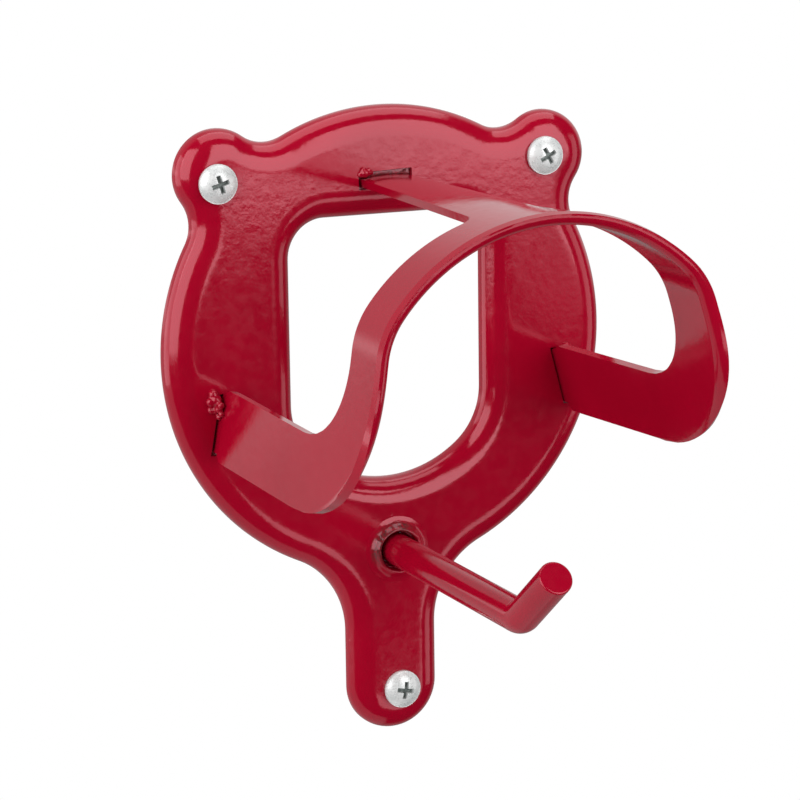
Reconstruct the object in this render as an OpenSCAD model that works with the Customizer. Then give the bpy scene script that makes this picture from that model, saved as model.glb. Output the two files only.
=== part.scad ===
// Wall bridle rack: a dished round plate with two ears and a tongue, a bent head support,
// a round-bar rein hook, the weld beads that hold them together, and three wall screws.
// X is to the right, Z is up, the wall is the plane y = 0 and the front faces -Y.
// The origin is on the wall at the centre of the round plate.

/* [Plate] */
// Radius of the round plate at the wall
plate_r = 58.4; // [54:0.2:66]
// Distance of the plate's front face from the wall
plate_depth = 6; // [5:0.1:8]
// Thickness of the steel sheet in the plate and the head support
sheet_t = 2; // [1.5:0.1:2.5]
// Width of the rolled outer edge, seen from the front
rim_roll_w = 7; // [5:0.1:8]
// Straight land behind the rolled edges, against the wall
rim_land = 0.8; // [0.4:0.1:1.5]
// Distance of each ear's centre from the plate's centre
ear_reach = 61.6; // [59:0.2:66]
// Angle of each ear from the horizontal
ear_angle = 45.5; // [40:0.5:50]
// Radius of the round ears
ear_r = 11; // [9:0.1:13]
// Radius of the hollow between the top of the plate and an ear
ear_neck_top_r = 10; // [6:0.5:14]
// Radius of the hollow between an ear and the side of the plate
ear_neck_side_r = 9.5; // [5:0.5:12]
// Width of the tongue
tongue_w = 23.8; // [20:0.2:28]
// Distance of the tongue's lower end from the plate's centre
tongue_reach = 99.2; // [92:0.2:112]
// Radius of the hollow between the plate and the tongue
tongue_neck_r = 21.5; // [14:0.5:30]

/* [Window] */
// Width of the window at the wall
window_w = 51.6; // [44:0.2:58]
// Top of the window above the plate's centre
window_top = 31.8; // [24:0.2:34]
// Bottom of the window below the plate's centre
window_drop = 34.2; // [29:0.2:38]
// Radius of the window's upper corners
window_top_corner_r = 9.5; // [6:0.5:12]
// Radius of the window's lower corners
window_low_corner_r = 18; // [12:0.5:22]
// Radius of the window's curved bottom
window_low_r = 30.5; // [27.5:0.5:40]
// Width of the window's rolled edge, seen from the front
window_roll_w = 6.5; // [4:0.1:8]

/* [Head support] */
// Height of the top of the head support above the plate's centre
support_top = 41.7; // [38:0.1:46]
// Outer radius of the support's crown
crown_r = 48; // [44:0.5:58]
// Half of the angle that the crown covers
crown_half_angle = 47; // [36:0.5:52]
// Outer radius of the support's shoulders
shoulder_r = 20; // [14:0.5:26]
// Outward lean of the support's sides from the vertical
side_lean = 12.5; // [8:0.5:18]
// Lower edge of the legs below the plate's centre
leg_drop = 22.2; // [20:0.2:28]
// Height of the legs
leg_h = 17.2; // [14:0.2:22]
// Distance of the rolled lip's front from the wall
support_reach = 93.6; // [75:0.2:115]
// Distance of the shelf's rear edge behind the front of the lip
shelf_depth = 17; // [12:0.5:24]
// Angle that the support is turned through on the plate, right side up
support_turn = 2.3; // [0:0.1:3]
// Further turn of the support from the plate to its lip
support_twist = 2.8; // [0:0.1:4]
// Angle that the support rises through towards the front
support_rise = 0.1; // [0:0.1:3]
// Width of the top strut at the shelf
strut_w = 16.5; // [13:0.5:20]
// Width of the top strut at the plate
strut_tab_w = 12.5; // [8:0.5:13]
// Radius of the legs' lower front corners
leg_corner_r = 36.5; // [20:0.5:38]
// Radius of the hollow between a leg's top and the shelf's rear edge
leg_fillet_r = 20.5; // [6:0.5:21]
// Radius of the hollow between the strut and the shelf's rear edge
strut_fillet_r = 4; // [2:0.5:6]
// Radius of the lip's bend at the middle of the sheet
lip_bend_r = 1.2; // [1.2:0.1:3]
// Angle that the lip is turned back through
lip_turn = 80; // [70:1:130]
// Length along a leg over which the lip fades out at its foot
lip_fade = 30; // [16:1:34]
// Straight length of the lip after the bend, at the sides
lip_tail_side = 0.4; // [0.3:0.1:5]
// Straight length of the lip after the bend, at the top
lip_tail_top = 0.3; // [0.3:0.1:4]

/* [Rein hook] */
// Diameter of the round bar
rod_d = 8; // [6:0.5:10]
// Distance of the bar below the plate's centre
hook_drop = 51.8; // [49:0.2:58]
// Distance of the bar's elbow from the wall
hook_reach = 75; // [55:0.2:95]
// Angle that the tip rises through
hook_lift = 38; // [20:1:60]
// Length of the tip from the elbow
hook_tip_l = 22; // [15:0.2:30]
// Radius of the bar's bend at its middle
hook_bend_r = 6; // [5:0.5:12]
// Height of the raised collar around the bar
collar_h = 2.2; // [1:0.1:3]

/* [Screws] */
// Turn of the three screw holes about the plate's centre, right side up
hole_turn = 1.1; // [0:0.1:2]
// Shift of the three screw holes to the left
hole_shift = 1; // [0:0.1:1.4]
// Shift of the three screw holes downwards
hole_drop = 0.7; // [0:0.1:1.2]
// Diameter of the screw thread
screw_d = 4.8; // [4:0.1:5.5]
// Diameter of the screw head
screw_head_d = 9.5; // [8:0.1:10.5]
// Height of the screw head
screw_head_h = 3; // [2.4:0.1:3.6]
// Length of the screw below its head
screw_l = 25; // [22:1:50]

/* [Piece] */
// Piece to draw

/* [Hidden] */
$fn = 64;
coat_red = [0.55, 0.03, 0.08];
zinc = [0.8, 0.8, 0.78];

// Clearances and overlaps
cut_over = 1;
wall_over = 0.6;
fit_gap = 0.05;
bore_gap = 0.5;
hole_gap = 0.35;
slot_end_gap = 0.4;
slot_inner_gap = 0.5;
slot_outer_gap = 0.8;
strut_slot_side_gap = 0.8;
strut_slot_low_gap = 0.5;
strut_slot_top_gap = 1.3;
tab_wall_gap = 1.2;
rod_wall_gap = 0.6;
weld_back_gap = 0.3;
slot_land = 0.2;
tiny = 0.01;

// Steps along the curves of the plate
rim_steps = [0, 22, 42, 60, 76, 90];
hollow_steps = [0, 32, 62, 90];
hollow_depth = plate_depth - sheet_t;
win_top = min(window_top, support_top - sheet_t - window_roll_w - strut_slot_low_gap - slot_land);
win_half = window_w / 2;
tongue_half = tongue_w / 2;
tongue_screw_z = -(tongue_reach - tongue_half);
ear_c = ear_reach * [cos(ear_angle), sin(ear_angle)];
function hole_at(c) = [c[0] * cos(hole_turn) - c[1] * sin(hole_turn) - hole_shift,
                       c[0] * sin(hole_turn) + c[1] * cos(hole_turn) - hole_drop];

// Point at r1 from c1 and r2 from c2, on the left of the line from c1 to c2 if side is 1
function meet(c1, r1, c2, r2, side) =
    let (v = c2 - c1, d = norm(v), u = v / d,
         a = (d * d + r1 * r1 - r2 * r2) / (2 * d),
         h = sqrt(max(0, r1 * r1 - a * a)))
    c1 + a * u + side * h * [-u[1], u[0]];
function heading(a, b) = atan2(b[1] - a[1], b[0] - a[0]);
function above(a, low) = a < low ? a + 360 : a;
function arc(c, r, a0, a1, n) =
    [for (i = [0 : n - 1]) let (a = a0 + (a1 - a0) * i / n) c + r * [cos(a), sin(a)]];
function flip_x(p) = [for (i = [len(p) - 1 : -1 : 0]) [-p[i][0], p[i][1]]];

// Right half of the plate's outline, drawn in by d, clockwise from the top
neck_top = meet([0, 0], plate_r + ear_neck_top_r, ear_c, ear_r + ear_neck_top_r, 1);
neck_side = meet([0, 0], plate_r + ear_neck_side_r, ear_c, ear_r + ear_neck_side_r, -1);
neck_low_x = tongue_half + tongue_neck_r;
neck_low = [neck_low_x, -sqrt(max(0, pow(plate_r + tongue_neck_r, 2) - neck_low_x * neck_low_x))];
tongue_c = [0, tongue_screw_z];
hole_centres = [hole_at([-ear_c[0], ear_c[1]]), hole_at(ear_c), hole_at(tongue_c)];
function half_outline(d) = concat(
    arc([0, 0], plate_r - d, 90, heading([0, 0], neck_top), 6),
    arc(neck_top, ear_neck_top_r + d, heading(neck_top, [0, 0]), heading(neck_top, ear_c), 5),
    arc(ear_c, ear_r - d, heading(ear_c, neck_top), heading(ear_c, neck_side), 12),
    arc(neck_side, ear_neck_side_r + d, heading(neck_side, ear_c),
        above(heading(neck_side, [0, 0]), heading(neck_side, ear_c)), 5),
    arc([0, 0], plate_r - d, heading([0, 0], neck_side), heading([0, 0], neck_low), 18),
    arc(neck_low, tongue_neck_r + d, heading(neck_low, [0, 0]), 180, 7),
    arc(tongue_c, tongue_half - d, 0, -90, 8));
function outline(d) =
    let (h = half_outline(d), low = [[0, -tongue_reach + d]])
    concat(h, low, [for (p = flip_x(h)) if (abs(p[0]) > tiny) p]);

// Window edge, drawn out by d, at an angle q from the upward direction
win_top_c = [win_half - window_top_corner_r, win_top - window_top_corner_r];
win_arc_c = [0, -window_drop + window_low_r];
win_low_x = win_half - window_low_corner_r;
win_low_h = sqrt(max(0, pow(window_low_r - window_low_corner_r, 2) - win_low_x * win_low_x));
win_low_c = [win_low_x, win_arc_c[1] - win_low_h];
win_low_u = (win_low_c - win_arc_c) / norm(win_low_c - win_arc_c);
function ray_to_circle(u, c, r) = u * c + sqrt(max(0, pow(u * c, 2) - c * c + r * r));
function turn_of(p) = atan2(abs(p[0]), p[1]);
function window_reach(q, d) =
    let (u = [sin(q), cos(q)])
    q < turn_of([win_top_c[0], win_top + d]) ? (win_top + d) / cos(q)
    : q < turn_of([win_half + d, win_top_c[1]]) ? ray_to_circle(u, win_top_c, window_top_corner_r + d)
    : q < turn_of([win_half + d, win_low_c[1]]) ? (win_half + d) / sin(q)
    : q < turn_of(win_arc_c + win_low_u * (window_low_r + d))
        ? ray_to_circle(u, win_low_c, window_low_corner_r + d)
    : ray_to_circle(u, win_arc_c, window_low_r + d);
function window_edge(d) = [for (p = outline(rim_roll_w))
    let (q = turn_of(p), r = window_reach(q, d)) [(p[0] < 0 ? -1 : 1) * r * sin(q), r * cos(q)]];

// One closed loop of rings: outer edge, front face, window edge, then back along the hollow
function ring(p, y) = [for (v = p) [v[0], y, v[1]]];
function edge_y(depth, a) = -rim_land - (depth - rim_land) * sin(a);
function plate_rings() = concat(
    [ring(outline(0), wall_over)],
    [for (a = rim_steps) ring(outline(rim_roll_w * (1 - cos(a))), edge_y(plate_depth, a))],
    [for (i = [len(rim_steps) - 1 : -1 : 0])
        ring(window_edge(window_roll_w * (1 - cos(rim_steps[i]))), edge_y(plate_depth, rim_steps[i]))],
    [ring(window_edge(0), wall_over)],
    [ring(window_edge(sheet_t), wall_over)],
    [for (a = hollow_steps)
        ring(window_edge(sheet_t + (window_roll_w - sheet_t) * (1 - cos(a))), edge_y(hollow_depth, a))],
    [for (i = [len(hollow_steps) - 1 : -1 : 0])
        ring(outline(sheet_t + (rim_roll_w - sheet_t) * (1 - cos(hollow_steps[i]))),
             edge_y(hollow_depth, hollow_steps[i]))],
    [ring(outline(sheet_t), wall_over)]);

// Solid skin over a list of rings, closed both ways round
module ring_solid(rings) {
    m = len(rings);
    n = len(rings[0]);
    polyhedron(points = [for (r = rings) each r],
               faces = [for (j = [0 : m - 1], i = [0 : n - 1])
                   let (a = j * n + i, b = j * n + (i + 1) % n, k = ((j + 1) % m) * n)
                   each [[a, b, k + i], [b, k + (i + 1) % n, k + i]]],
               convexity = 12);
}

// Head support: outer line of the bent sheet, as points with the angle of their normal
crown_c = [0, support_top - crown_r];
shoulder_c = crown_c + (crown_r - shoulder_r) * [sin(crown_half_angle), cos(crown_half_angle)];
side_normal = 90 - side_lean;
side_start = shoulder_c + shoulder_r * [sin(side_normal), cos(side_normal)];
function side_x(z) = side_start[0] + (side_start[1] - z) * tan(side_lean);
sheet_across = sheet_t / cos(side_lean);
leg_low = -leg_drop;
leg_high = leg_low + leg_h;
tab_step = 1.8;
leg_back_low = 3;
tab_low = leg_low + tab_step;
tab_high = leg_high - tab_step;
shelf_rear = support_reach - shelf_depth;
flat_end = support_reach - max(lip_bend_r, sheet_t / 2) - sheet_t / 2;

// Distances down a side from the end of its shoulder, measured along the sheet
function down_side(z) = (side_start[1] - z) / cos(side_lean);
v_top = down_side(leg_high);
v_low = down_side(leg_low);
v_tab_top = down_side(tab_high);
v_tab_low = down_side(tab_low);
corner_r = min(leg_corner_r, v_low - leg_back_low);
v_corner = v_low - corner_r;
leg_back_high = [4, 1.4];
least_step = 0.05;
function sorted(a) = len(a) < 2 ? a : let (m = a[floor(len(a) / 2)])
    concat(sorted([for (q = a) if (q < m - least_step) q]), [m],
           sorted([for (q = a) if (q > m + least_step) q]));
function share(i, n) = 1 - cos(90 * i / n);

// Columns across the sheet, from the top to the foot of a leg: x, z, angle of the normal, way down a side
strut_half = strut_w / 2;
tab_half = strut_tab_w / 2;
strut_web = strut_half + strut_fillet_r;
function at_angle(c, r, a) = concat(c + r * [sin(a), cos(a)], [a, -1]);
function down_at(v) = concat(side_start + v * [sin(side_lean), -cos(side_lean)], [side_normal, v]);
crown_free = asin(strut_web / crown_r);
side_marks = sorted(concat(
    [for (i = [0 : 6]) (v_top - leg_fillet_r) * i / 6],
    [for (i = [0 : 5]) v_top - leg_fillet_r * share(i, 5)],
    [v_top, v_top + leg_back_high[1], v_tab_top, v_tab_low, v_low - leg_back_low, v_low],
    [for (i = [0 : 10]) v_low - corner_r * share(i, 10)]));
half_columns = concat(
    [at_angle(crown_c, crown_r, 0)],
    [for (i = [0 : 5]) let (x = strut_web - strut_fillet_r * (1 - share(i, 5)))
        at_angle(crown_c, crown_r, asin(x / crown_r))],
    [for (i = [1 : 6]) at_angle(crown_c, crown_r, crown_free + (crown_half_angle - crown_free) * i / 6)],
    [for (i = [1 : 7]) let (a = crown_half_angle + (side_normal - crown_half_angle) * i / 8)
        at_angle(shoulder_c, shoulder_r, a)],
    [for (v = side_marks) down_at(v)]);
left_columns = [for (i = [len(half_columns) - 1 : -1 : 1])
    let (c = half_columns[i]) [-c[0], c[1], -c[2], c[3]]];
columns = concat(left_columns, half_columns);
function in_strut(c) = c[3] < 0 && abs(c[0]) < strut_half + tiny;
function in_leg(c) = c[3] > v_top - tiny;
function in_tab(c) = c[3] > v_tab_top - tiny && c[3] < v_tab_low + tiny;

// Rear edge of the shelf at a column, with its hollows beside the strut and the legs
function hollow(r, e) = r - sqrt(max(0, r * r - e * e));
function rear_at(c) =
    c[3] < 0 ? shelf_rear - hollow(strut_fillet_r, min(strut_fillet_r, max(0, strut_web - abs(c[0]))))
    : shelf_rear - hollow(leg_fillet_r, min(leg_fillet_r, max(0, c[3] - v_top + leg_fillet_r)));

// Rear edge of a leg at a column, cut back at its two corners
function leg_back_at(c) = plate_depth + (in_leg(c)
    ? max(0, c[3] - v_low + leg_back_low,
          leg_back_high[0] * (1 - (c[3] - v_top) / leg_back_high[1]))
    : 0);

// Lip: the front edge turned outwards, fading out down the legs
bend_inside = 0.2;
bend_r = max(lip_bend_r, sheet_t / 2 + bend_inside);
bend_least = 0.64;
tail_least = 0.16;
function ease(t) = let (u = min(1, max(0, t))) u * u * (3 - 2 * u);
function lip_share(c) = ease((v_low - max(0, c[3])) / min(lip_fade, v_low));
function lip_bend_l(c) = bend_r * lip_turn * PI / 180 * lip_share(c) + bend_least;
function lip_tail_l(c) = tail_least
    + lip_share(c) * (lip_tail_top + (lip_tail_side - lip_tail_top) * abs(c[2]) / side_normal);
function corner_cut(c) = c[3] > v_corner ? hollow(corner_r, min(corner_r, c[3] - v_corner)) : 0;
function bend_point(c, t) =
    let (turn = max(1, lip_turn * lip_share(c)), r = lip_bend_l(c) * 180 / PI / turn, a = turn * t)
    [r * (1 - cos(a)), r * sin(a), a];
function tail_point(c) = let (e = bend_point(c, 1), l = lip_tail_l(c))
    [e[0] + l * sin(e[2]), e[1] + l * cos(e[2]), e[2]];

// Rows of a column: tab end, rear edge, start of the rise, shelf rear, front of the flat part, then the lip
rise_room = 5;
shelf_rows = 3;
shelf_least = 2;
lip_rows = 6;
rise_start = plate_depth + rise_room;
function rise_at(f) = tan(support_rise) * max(0, f - rise_start);
function turn_at(f) = support_turn + support_twist * max(0, f - rise_start) / (support_reach - rise_start);
strut_run = shelf_rear - strut_fillet_r - plate_depth;
function strut_share(f) = f > plate_depth + strut_run ? 1
    : (strut_tab_w + (strut_w - strut_tab_w) * max(0, f - plate_depth) / strut_run) / strut_w;
function column_rows(c) =
    let (front = flat_end - corner_cut(c), rear = min(rear_at(c), front - shelf_least))
    concat(
        [for (f = [tab_wall_gap, leg_back_at(c), rise_start]) [0, f, 0]],
        [for (i = [0 : shelf_rows - 1]) [0, rear + (front - rear) * i / shelf_rows, 0]],
        [for (i = [0 : lip_rows]) let (b = bend_point(c, i / lip_rows)) [b[0], front + b[1], b[2]]],
        [let (b = tail_point(c)) [b[0], front + b[1], b[2]]]);

// Inner and outer point of the sheet at a column and a row
function sheet_point(c, m, side) =
    let (n = m[0] - sheet_t / 2 + side * sheet_t / 2 * cos(m[2]), f = m[1] - side * sheet_t / 2 * sin(m[2]),
         b = in_strut(c) ? at_angle(crown_c, crown_r, c[2] * strut_share(m[1])) : c,
         x = b[0] + n * sin(b[2]), z = b[1] + n * cos(b[2]), a = turn_at(f))
    [x * cos(a) - z * sin(a), -f, x * sin(a) + z * cos(a) + rise_at(f)];
row_count = shelf_rows + lip_rows + 5;
function cell_drawn(i, j) =
    i < 0 || i > len(columns) - 2 || j < 0 || j > row_count - 2 ? false
    : j > 2 ? true
    : let (a = columns[i], b = columns[i + 1])
      (in_strut(a) && in_strut(b)) || (j > 0 ? in_leg(a) && in_leg(b) : in_tab(a) && in_tab(b));
function corner(i, j, side) = 2 * (i * row_count + j) + side;
function two_triangles(a, b, c, d) = [[a, b, c], [a, c, d]];
function edge_wall(i0, j0, i1, j1) =
    two_triangles(corner(i0, j0, 0), corner(i0, j0, 1), corner(i1, j1, 1), corner(i1, j1, 0));
function cell_faces(i, j) = concat(
    two_triangles(corner(i, j, 1), corner(i + 1, j, 1), corner(i + 1, j + 1, 1), corner(i, j + 1, 1)),
    two_triangles(corner(i, j, 0), corner(i, j + 1, 0), corner(i + 1, j + 1, 0), corner(i + 1, j, 0)),
    cell_drawn(i, j - 1) ? [] : edge_wall(i + 1, j, i, j),
    cell_drawn(i, j + 1) ? [] : edge_wall(i, j + 1, i + 1, j + 1),
    cell_drawn(i - 1, j) ? [] : edge_wall(i, j, i, j + 1),
    cell_drawn(i + 1, j) ? [] : edge_wall(i + 1, j + 1, i + 1, j));
module bent_sheet() {
    polyhedron(points = [for (c = columns, m = column_rows(c), side = [-1, 1]) sheet_point(c, m, side)],
               faces = [for (i = [0 : len(columns) - 2], j = [0 : row_count - 2])
                   if (cell_drawn(i, j)) each cell_faces(i, j)],
               convexity = 12);
}

// Puts a flat shape drawn in X and Z between two distances from the wall
module from_wall(near, far) {
    translate([0, -near, 0]) rotate([90, 0, 0]) linear_extrude(height = far - near) children();
}

// Turns a piece with the support, right side up
module with_support() {
    rotate([0, -support_turn, 0]) children();
}

// Places the bar's own frame: its axis along -Y at the hook's height
module at_hook() {
    translate([0, 0, -hook_drop]) rotate([90, 0, 0]) children();
}

// Dished plate with its holes
collar_wall = 2.4;
collar_lip_w = 0.5;
collar_land = 0.2;
module backplate() {
    collar_base_r = rod_d / 2 + collar_wall;
    collar_lip_r = rod_d / 2 + bore_gap + collar_lip_w;
    color(coat_red) difference() {
        union() {
            ring_solid(plate_rings());
            at_hook() rotate_extrude()
                polygon([[rod_d / 2, plate_depth - sheet_t / 2], [collar_base_r, plate_depth - sheet_t / 2],
                         [collar_base_r, plate_depth + collar_land], [collar_lip_r, plate_depth + collar_h],
                         [rod_d / 2, plate_depth + collar_h]]);
        }
        translate([-plate_r - ear_reach, 0, -2 * tongue_reach])
            cube([2 * (plate_r + ear_reach), 2 * wall_over, 4 * tongue_reach]);
        for (c = hole_centres)
            translate([c[0], cut_over, c[1]]) rotate([90, 0, 0])
                cylinder(d = screw_d + 2 * hole_gap, h = plate_depth + 2 * cut_over);
        at_hook() cylinder(d = rod_d + 2 * bore_gap, h = plate_depth + collar_h + cut_over);
        with_support() from_wall(-cut_over, plate_depth + cut_over) {
            leg_slot();
            mirror([1, 0]) leg_slot();
            strut_slot();
        }
    }
}

// Openings in the plate for the support's tabs, leaning as the legs do
module leg_slot() {
    z0 = tab_low - sheet_t * sin(side_lean) - slot_end_gap;
    z1 = tab_high + slot_end_gap;
    inner = sheet_across + slot_inner_gap;
    polygon([[side_x(z0) - inner, z0], [side_x(z0) + slot_outer_gap, z0],
             [side_x(z1) + slot_outer_gap, z1], [side_x(z1) - inner, z1]]);
}
strut_drop = crown_r - sqrt(crown_r * crown_r - tab_half * tab_half);
strut_slot_low = support_top - sheet_t - strut_drop - strut_slot_low_gap;
strut_slot_high = support_top + strut_slot_top_gap;
module strut_slot() {
    half = tab_half + strut_slot_side_gap;
    translate([-half, strut_slot_low]) square([2 * half, strut_slot_high - strut_slot_low]);
}

// One bent sheet: shelf with its lip, two legs and the top strut
module head_support() {
    color(coat_red) bent_sheet();
}

// Round bar: straight, a bend and the raised tip
module rein_hook() {
    bend_l = hook_bend_r * tan(hook_lift / 2);
    color(coat_red) at_hook() translate([0, hook_bend_r, hook_reach - bend_l])
        rotate([0, -90, 0]) rotate([0, 0, -90]) {
            translate([hook_bend_r, 0, 0]) rotate([90, 0, 0])
                cylinder(d = rod_d, h = hook_reach - bend_l - rod_wall_gap);
            rotate_extrude(angle = hook_lift) translate([hook_bend_r, 0]) circle(d = rod_d);
            rotate([0, 0, hook_lift]) translate([hook_bend_r, 0, 0]) rotate([-90, 0, 0])
                cylinder(d = rod_d, h = hook_tip_l - bend_l);
        }
}

// Beads of weld: how far they stand sunk in the plate and the room that they may take in front of it
bead_sink = 0.6;
bead_room = 4;
module bead_at(x, z, r) {
    translate([x, bead_sink - plate_depth, z]) sphere(r = r);
}

// Weld between a leg and the outer upper corner of its slot, on the right
leg_weld_share = 0.42;
high_bead = [0, -1.6, 2.9];
low_bead = [0.4, 1.2, 2.3];
module leg_weld() {
    z1 = tab_high + slot_end_gap;
    z0 = z1 - leg_weld_share * (tab_high - tab_low);
    gap = slot_outer_gap;
    xm = side_x((z0 + z1) / 2) + gap;
    zh = z1 + bead_room;
    zl = z0 - bead_room;
    from_wall(plate_depth - sheet_t + weld_back_gap, plate_depth)
        polygon([[side_x(z1), z1], [side_x(z0), z0], [side_x(z0) + gap, z0], [side_x(z1) + gap, z1]]);
    intersection() {
        union() {
            bead_at(xm + high_bead[0], z1 + high_bead[1], high_bead[2]);
            bead_at(xm + low_bead[0], z0 + low_bead[1], low_bead[2]);
        }
        from_wall(plate_depth, plate_depth + bead_room)
            polygon([[side_x(zh), zh], [side_x(zl), zl], [side_x(zl) + 2 * bead_room, zl],
                     [side_x(zl) + 2 * bead_room, zh]]);
    }
}
module weld_right() {
    color(coat_red) with_support() leg_weld();
}
module weld_left() {
    color(coat_red) with_support() mirror([1, 0, 0]) leg_weld();
}

// Weld between the strut and the left end of its slot
top_weld_share = 0.36;
top_bead = [-0.9, 2.4];
module weld_top() {
    half = tab_half + strut_slot_side_gap;
    run = top_weld_share * strut_tab_w;
    edge_z = support_top - strut_drop;
    x1 = run - half;
    z1 = support_top + strut_drop * x1 / tab_half;
    zh = strut_slot_high + bead_room;
    color(coat_red) with_support() {
        from_wall(plate_depth - sheet_t + weld_back_gap, plate_depth)
            polygon([[-half, edge_z], [-tab_half, edge_z], [x1, z1], [x1, strut_slot_high],
                     [-half, strut_slot_high]]);
        intersection() {
            bead_at(run / 2 - half, strut_slot_high + top_bead[0], top_bead[1]);
            from_wall(plate_depth, plate_depth + bead_room)
                polygon([[-half - run, edge_z], [-tab_half, edge_z], [0, support_top], [0, zh],
                         [-half - run, zh]]);
        }
    }
}

// Ring of weld around the bar behind the plate
ring_w = 2.6;
ring_shoulder = 1.6;
ring_h = 2.4;
module weld_hook() {
    r0 = rod_d / 2 + fit_gap;
    color(coat_red) at_hook() rotate_extrude()
        polygon([[r0, hollow_depth], [r0 + ring_w, hollow_depth],
                 [r0 + ring_shoulder, hollow_depth - ring_shoulder], [r0, hollow_depth - ring_h]]);
}

// Wall screw: domed head with a cross recess, plain neck, thread and point
head_side_h = 1;
neck_step = 0.4;
neck_over = 0.5;
point_share = 1.4;
point_d = 0.6;
recess_l = 0.58;
recess_w = 0.15;
recess_depth = 0.6;
module wall_screw(c, turn) {
    head_r = screw_head_d / 2;
    dome_h = screw_head_h - head_side_h;
    dome_r = (head_r * head_r + dome_h * dome_h) / (2 * dome_h);
    neck_l = plate_depth + neck_over;
    point_l = point_share * screw_d;
    slit = screw_head_d * [recess_l, recess_w];
    color(zinc) translate([c[0], -plate_depth, c[1]]) rotate([-90, 0, 0]) difference() {
        union() {
            intersection() {
                translate([0, 0, -screw_head_h]) cylinder(r = head_r, h = screw_head_h);
                translate([0, 0, dome_r - screw_head_h]) sphere(r = dome_r);
            }
            cylinder(r = screw_d / 2 - neck_step, h = neck_l);
            translate([0, 0, neck_l]) cylinder(d = screw_d, h = screw_l - point_l - neck_l);
            translate([0, 0, screw_l - point_l]) cylinder(d1 = screw_d, d2 = point_d, h = point_l);
        }
        for (a = [0, 90]) rotate([0, 0, turn + a])
            translate([-slit[0] / 2, -slit[1] / 2, -screw_head_h - cut_over])
            cube([slit[0], slit[1], cut_over + recess_depth * screw_head_h]);
    }
}
recess_turns = [17, 28, -10];
module screw_top_left() {
    wall_screw(hole_centres[0], recess_turns[0]);
}
module screw_top_right() {
    wall_screw(hole_centres[1], recess_turns[1]);
}
module screw_bottom() {
    wall_screw(hole_centres[2], recess_turns[2]);
}

backplate();
head_support();
rein_hook();
weld_left();
weld_right();
weld_top();
weld_hook();
screw_top_left();
screw_top_right();
screw_bottom();
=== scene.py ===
"""Dressed model of a wall bridle rack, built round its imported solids.

Sizes in the classes are millimetres in the part's own frame: X to the right, Z up, the wall at
y = 0 and the front towards -Y. A finished mesh is scaled to metres.
"""

import logging
import math
from collections.abc import Iterator
from contextlib import contextmanager
from dataclasses import dataclass, field
from enum import Enum

import bmesh
import bpy
from mathutils import Matrix, Vector, noise


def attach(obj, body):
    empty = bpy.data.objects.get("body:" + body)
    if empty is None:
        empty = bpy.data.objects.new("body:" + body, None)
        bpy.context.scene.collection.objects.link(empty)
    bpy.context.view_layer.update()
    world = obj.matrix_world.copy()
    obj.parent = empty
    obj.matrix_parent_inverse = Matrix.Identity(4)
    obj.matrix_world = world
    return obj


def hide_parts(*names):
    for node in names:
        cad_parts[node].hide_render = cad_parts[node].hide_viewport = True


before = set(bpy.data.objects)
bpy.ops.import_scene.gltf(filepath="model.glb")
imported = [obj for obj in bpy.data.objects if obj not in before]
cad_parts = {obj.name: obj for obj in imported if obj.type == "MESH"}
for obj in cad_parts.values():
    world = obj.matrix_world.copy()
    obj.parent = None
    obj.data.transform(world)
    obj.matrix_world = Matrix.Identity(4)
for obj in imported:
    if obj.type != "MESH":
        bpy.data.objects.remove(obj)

LOG = logging.getLogger("bridle_rack")
MM = 0.001
FRONT = Vector((0, -1, 0))
SAME_POINT = 1e-3
QUARTER_TURN = math.pi / 2
Mesh = bmesh.types.BMesh
Vert = bmesh.types.BMVert
Edge = bmesh.types.BMEdge
Piece = bpy.types.Object
Socket = bpy.types.NodeSocket
Value = float | tuple | Socket


class Slot(Enum):
    """Finishes that the pieces take."""

    RED_COAT = "red_coat"
    ZINC = "zinc_plate"


class Side(Enum):
    """Sides of the rack, as a sign along X."""

    LEFT = -1
    RIGHT = 1


def ease(share: float) -> float:
    """Returns a share from 0 to 1 with a soft start and end."""
    t = min(1.0, max(0.0, share))
    return t * t * (3 - 2 * t)


def hollow(radius: float, along: float) -> float:
    """Returns how far a circle has fallen away from its tangent after a distance along it."""
    along = min(radius, max(0.0, along))
    return radius - math.sqrt(max(0.0, radius * radius - along * along))


def bearing(centre: Vector, point: Vector) -> float:
    """Returns a point's angle round a centre, clockwise from straight up as seen from the front."""
    return math.atan2(point.x - centre.x, point.z - centre.z)


def facing(angle: float) -> Vector:
    """Returns the direction at an angle from straight up, clockwise as seen from the front."""
    return Vector((math.sin(angle), 0, math.cos(angle)))


def turned(x: float, z: float, degrees: float) -> tuple[float, float]:
    """Turns a place about the plate's middle, right side up."""
    a = math.radians(degrees)
    return x * math.cos(a) - z * math.sin(a), x * math.sin(a) + z * math.cos(a)


def circles_meet(c1: Vector, r1: float, c2: Vector, r2: float, side: int) -> Vector:
    """Finds the point at given distances from two centres.

    Args:
        c1: First centre.
        r1: Distance from the first centre.
        c2: Second centre.
        r2: Distance from the second centre.
        side: 1 for the point on the left of the way from the first centre to the second, -1 for the right.

    Returns:
        The point, in the plane of the two centres.
    """
    way = c2 - c1
    reach = way.length
    unit = way / reach
    along = (reach * reach + r1 * r1 - r2 * r2) / (2 * reach)
    off = math.sqrt(max(0.0, r1 * r1 - along * along))
    return c1 + unit * along + Vector((-unit.z, 0, unit.x)) * (side * off)


def lumps(point: Vector, size: float, seed: float) -> float:
    """Returns smooth noise from about -1 to 1 with lumps of a size in millimetres."""
    return noise.noise(point / size + Vector((seed, seed * 0.7, -seed)))


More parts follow.
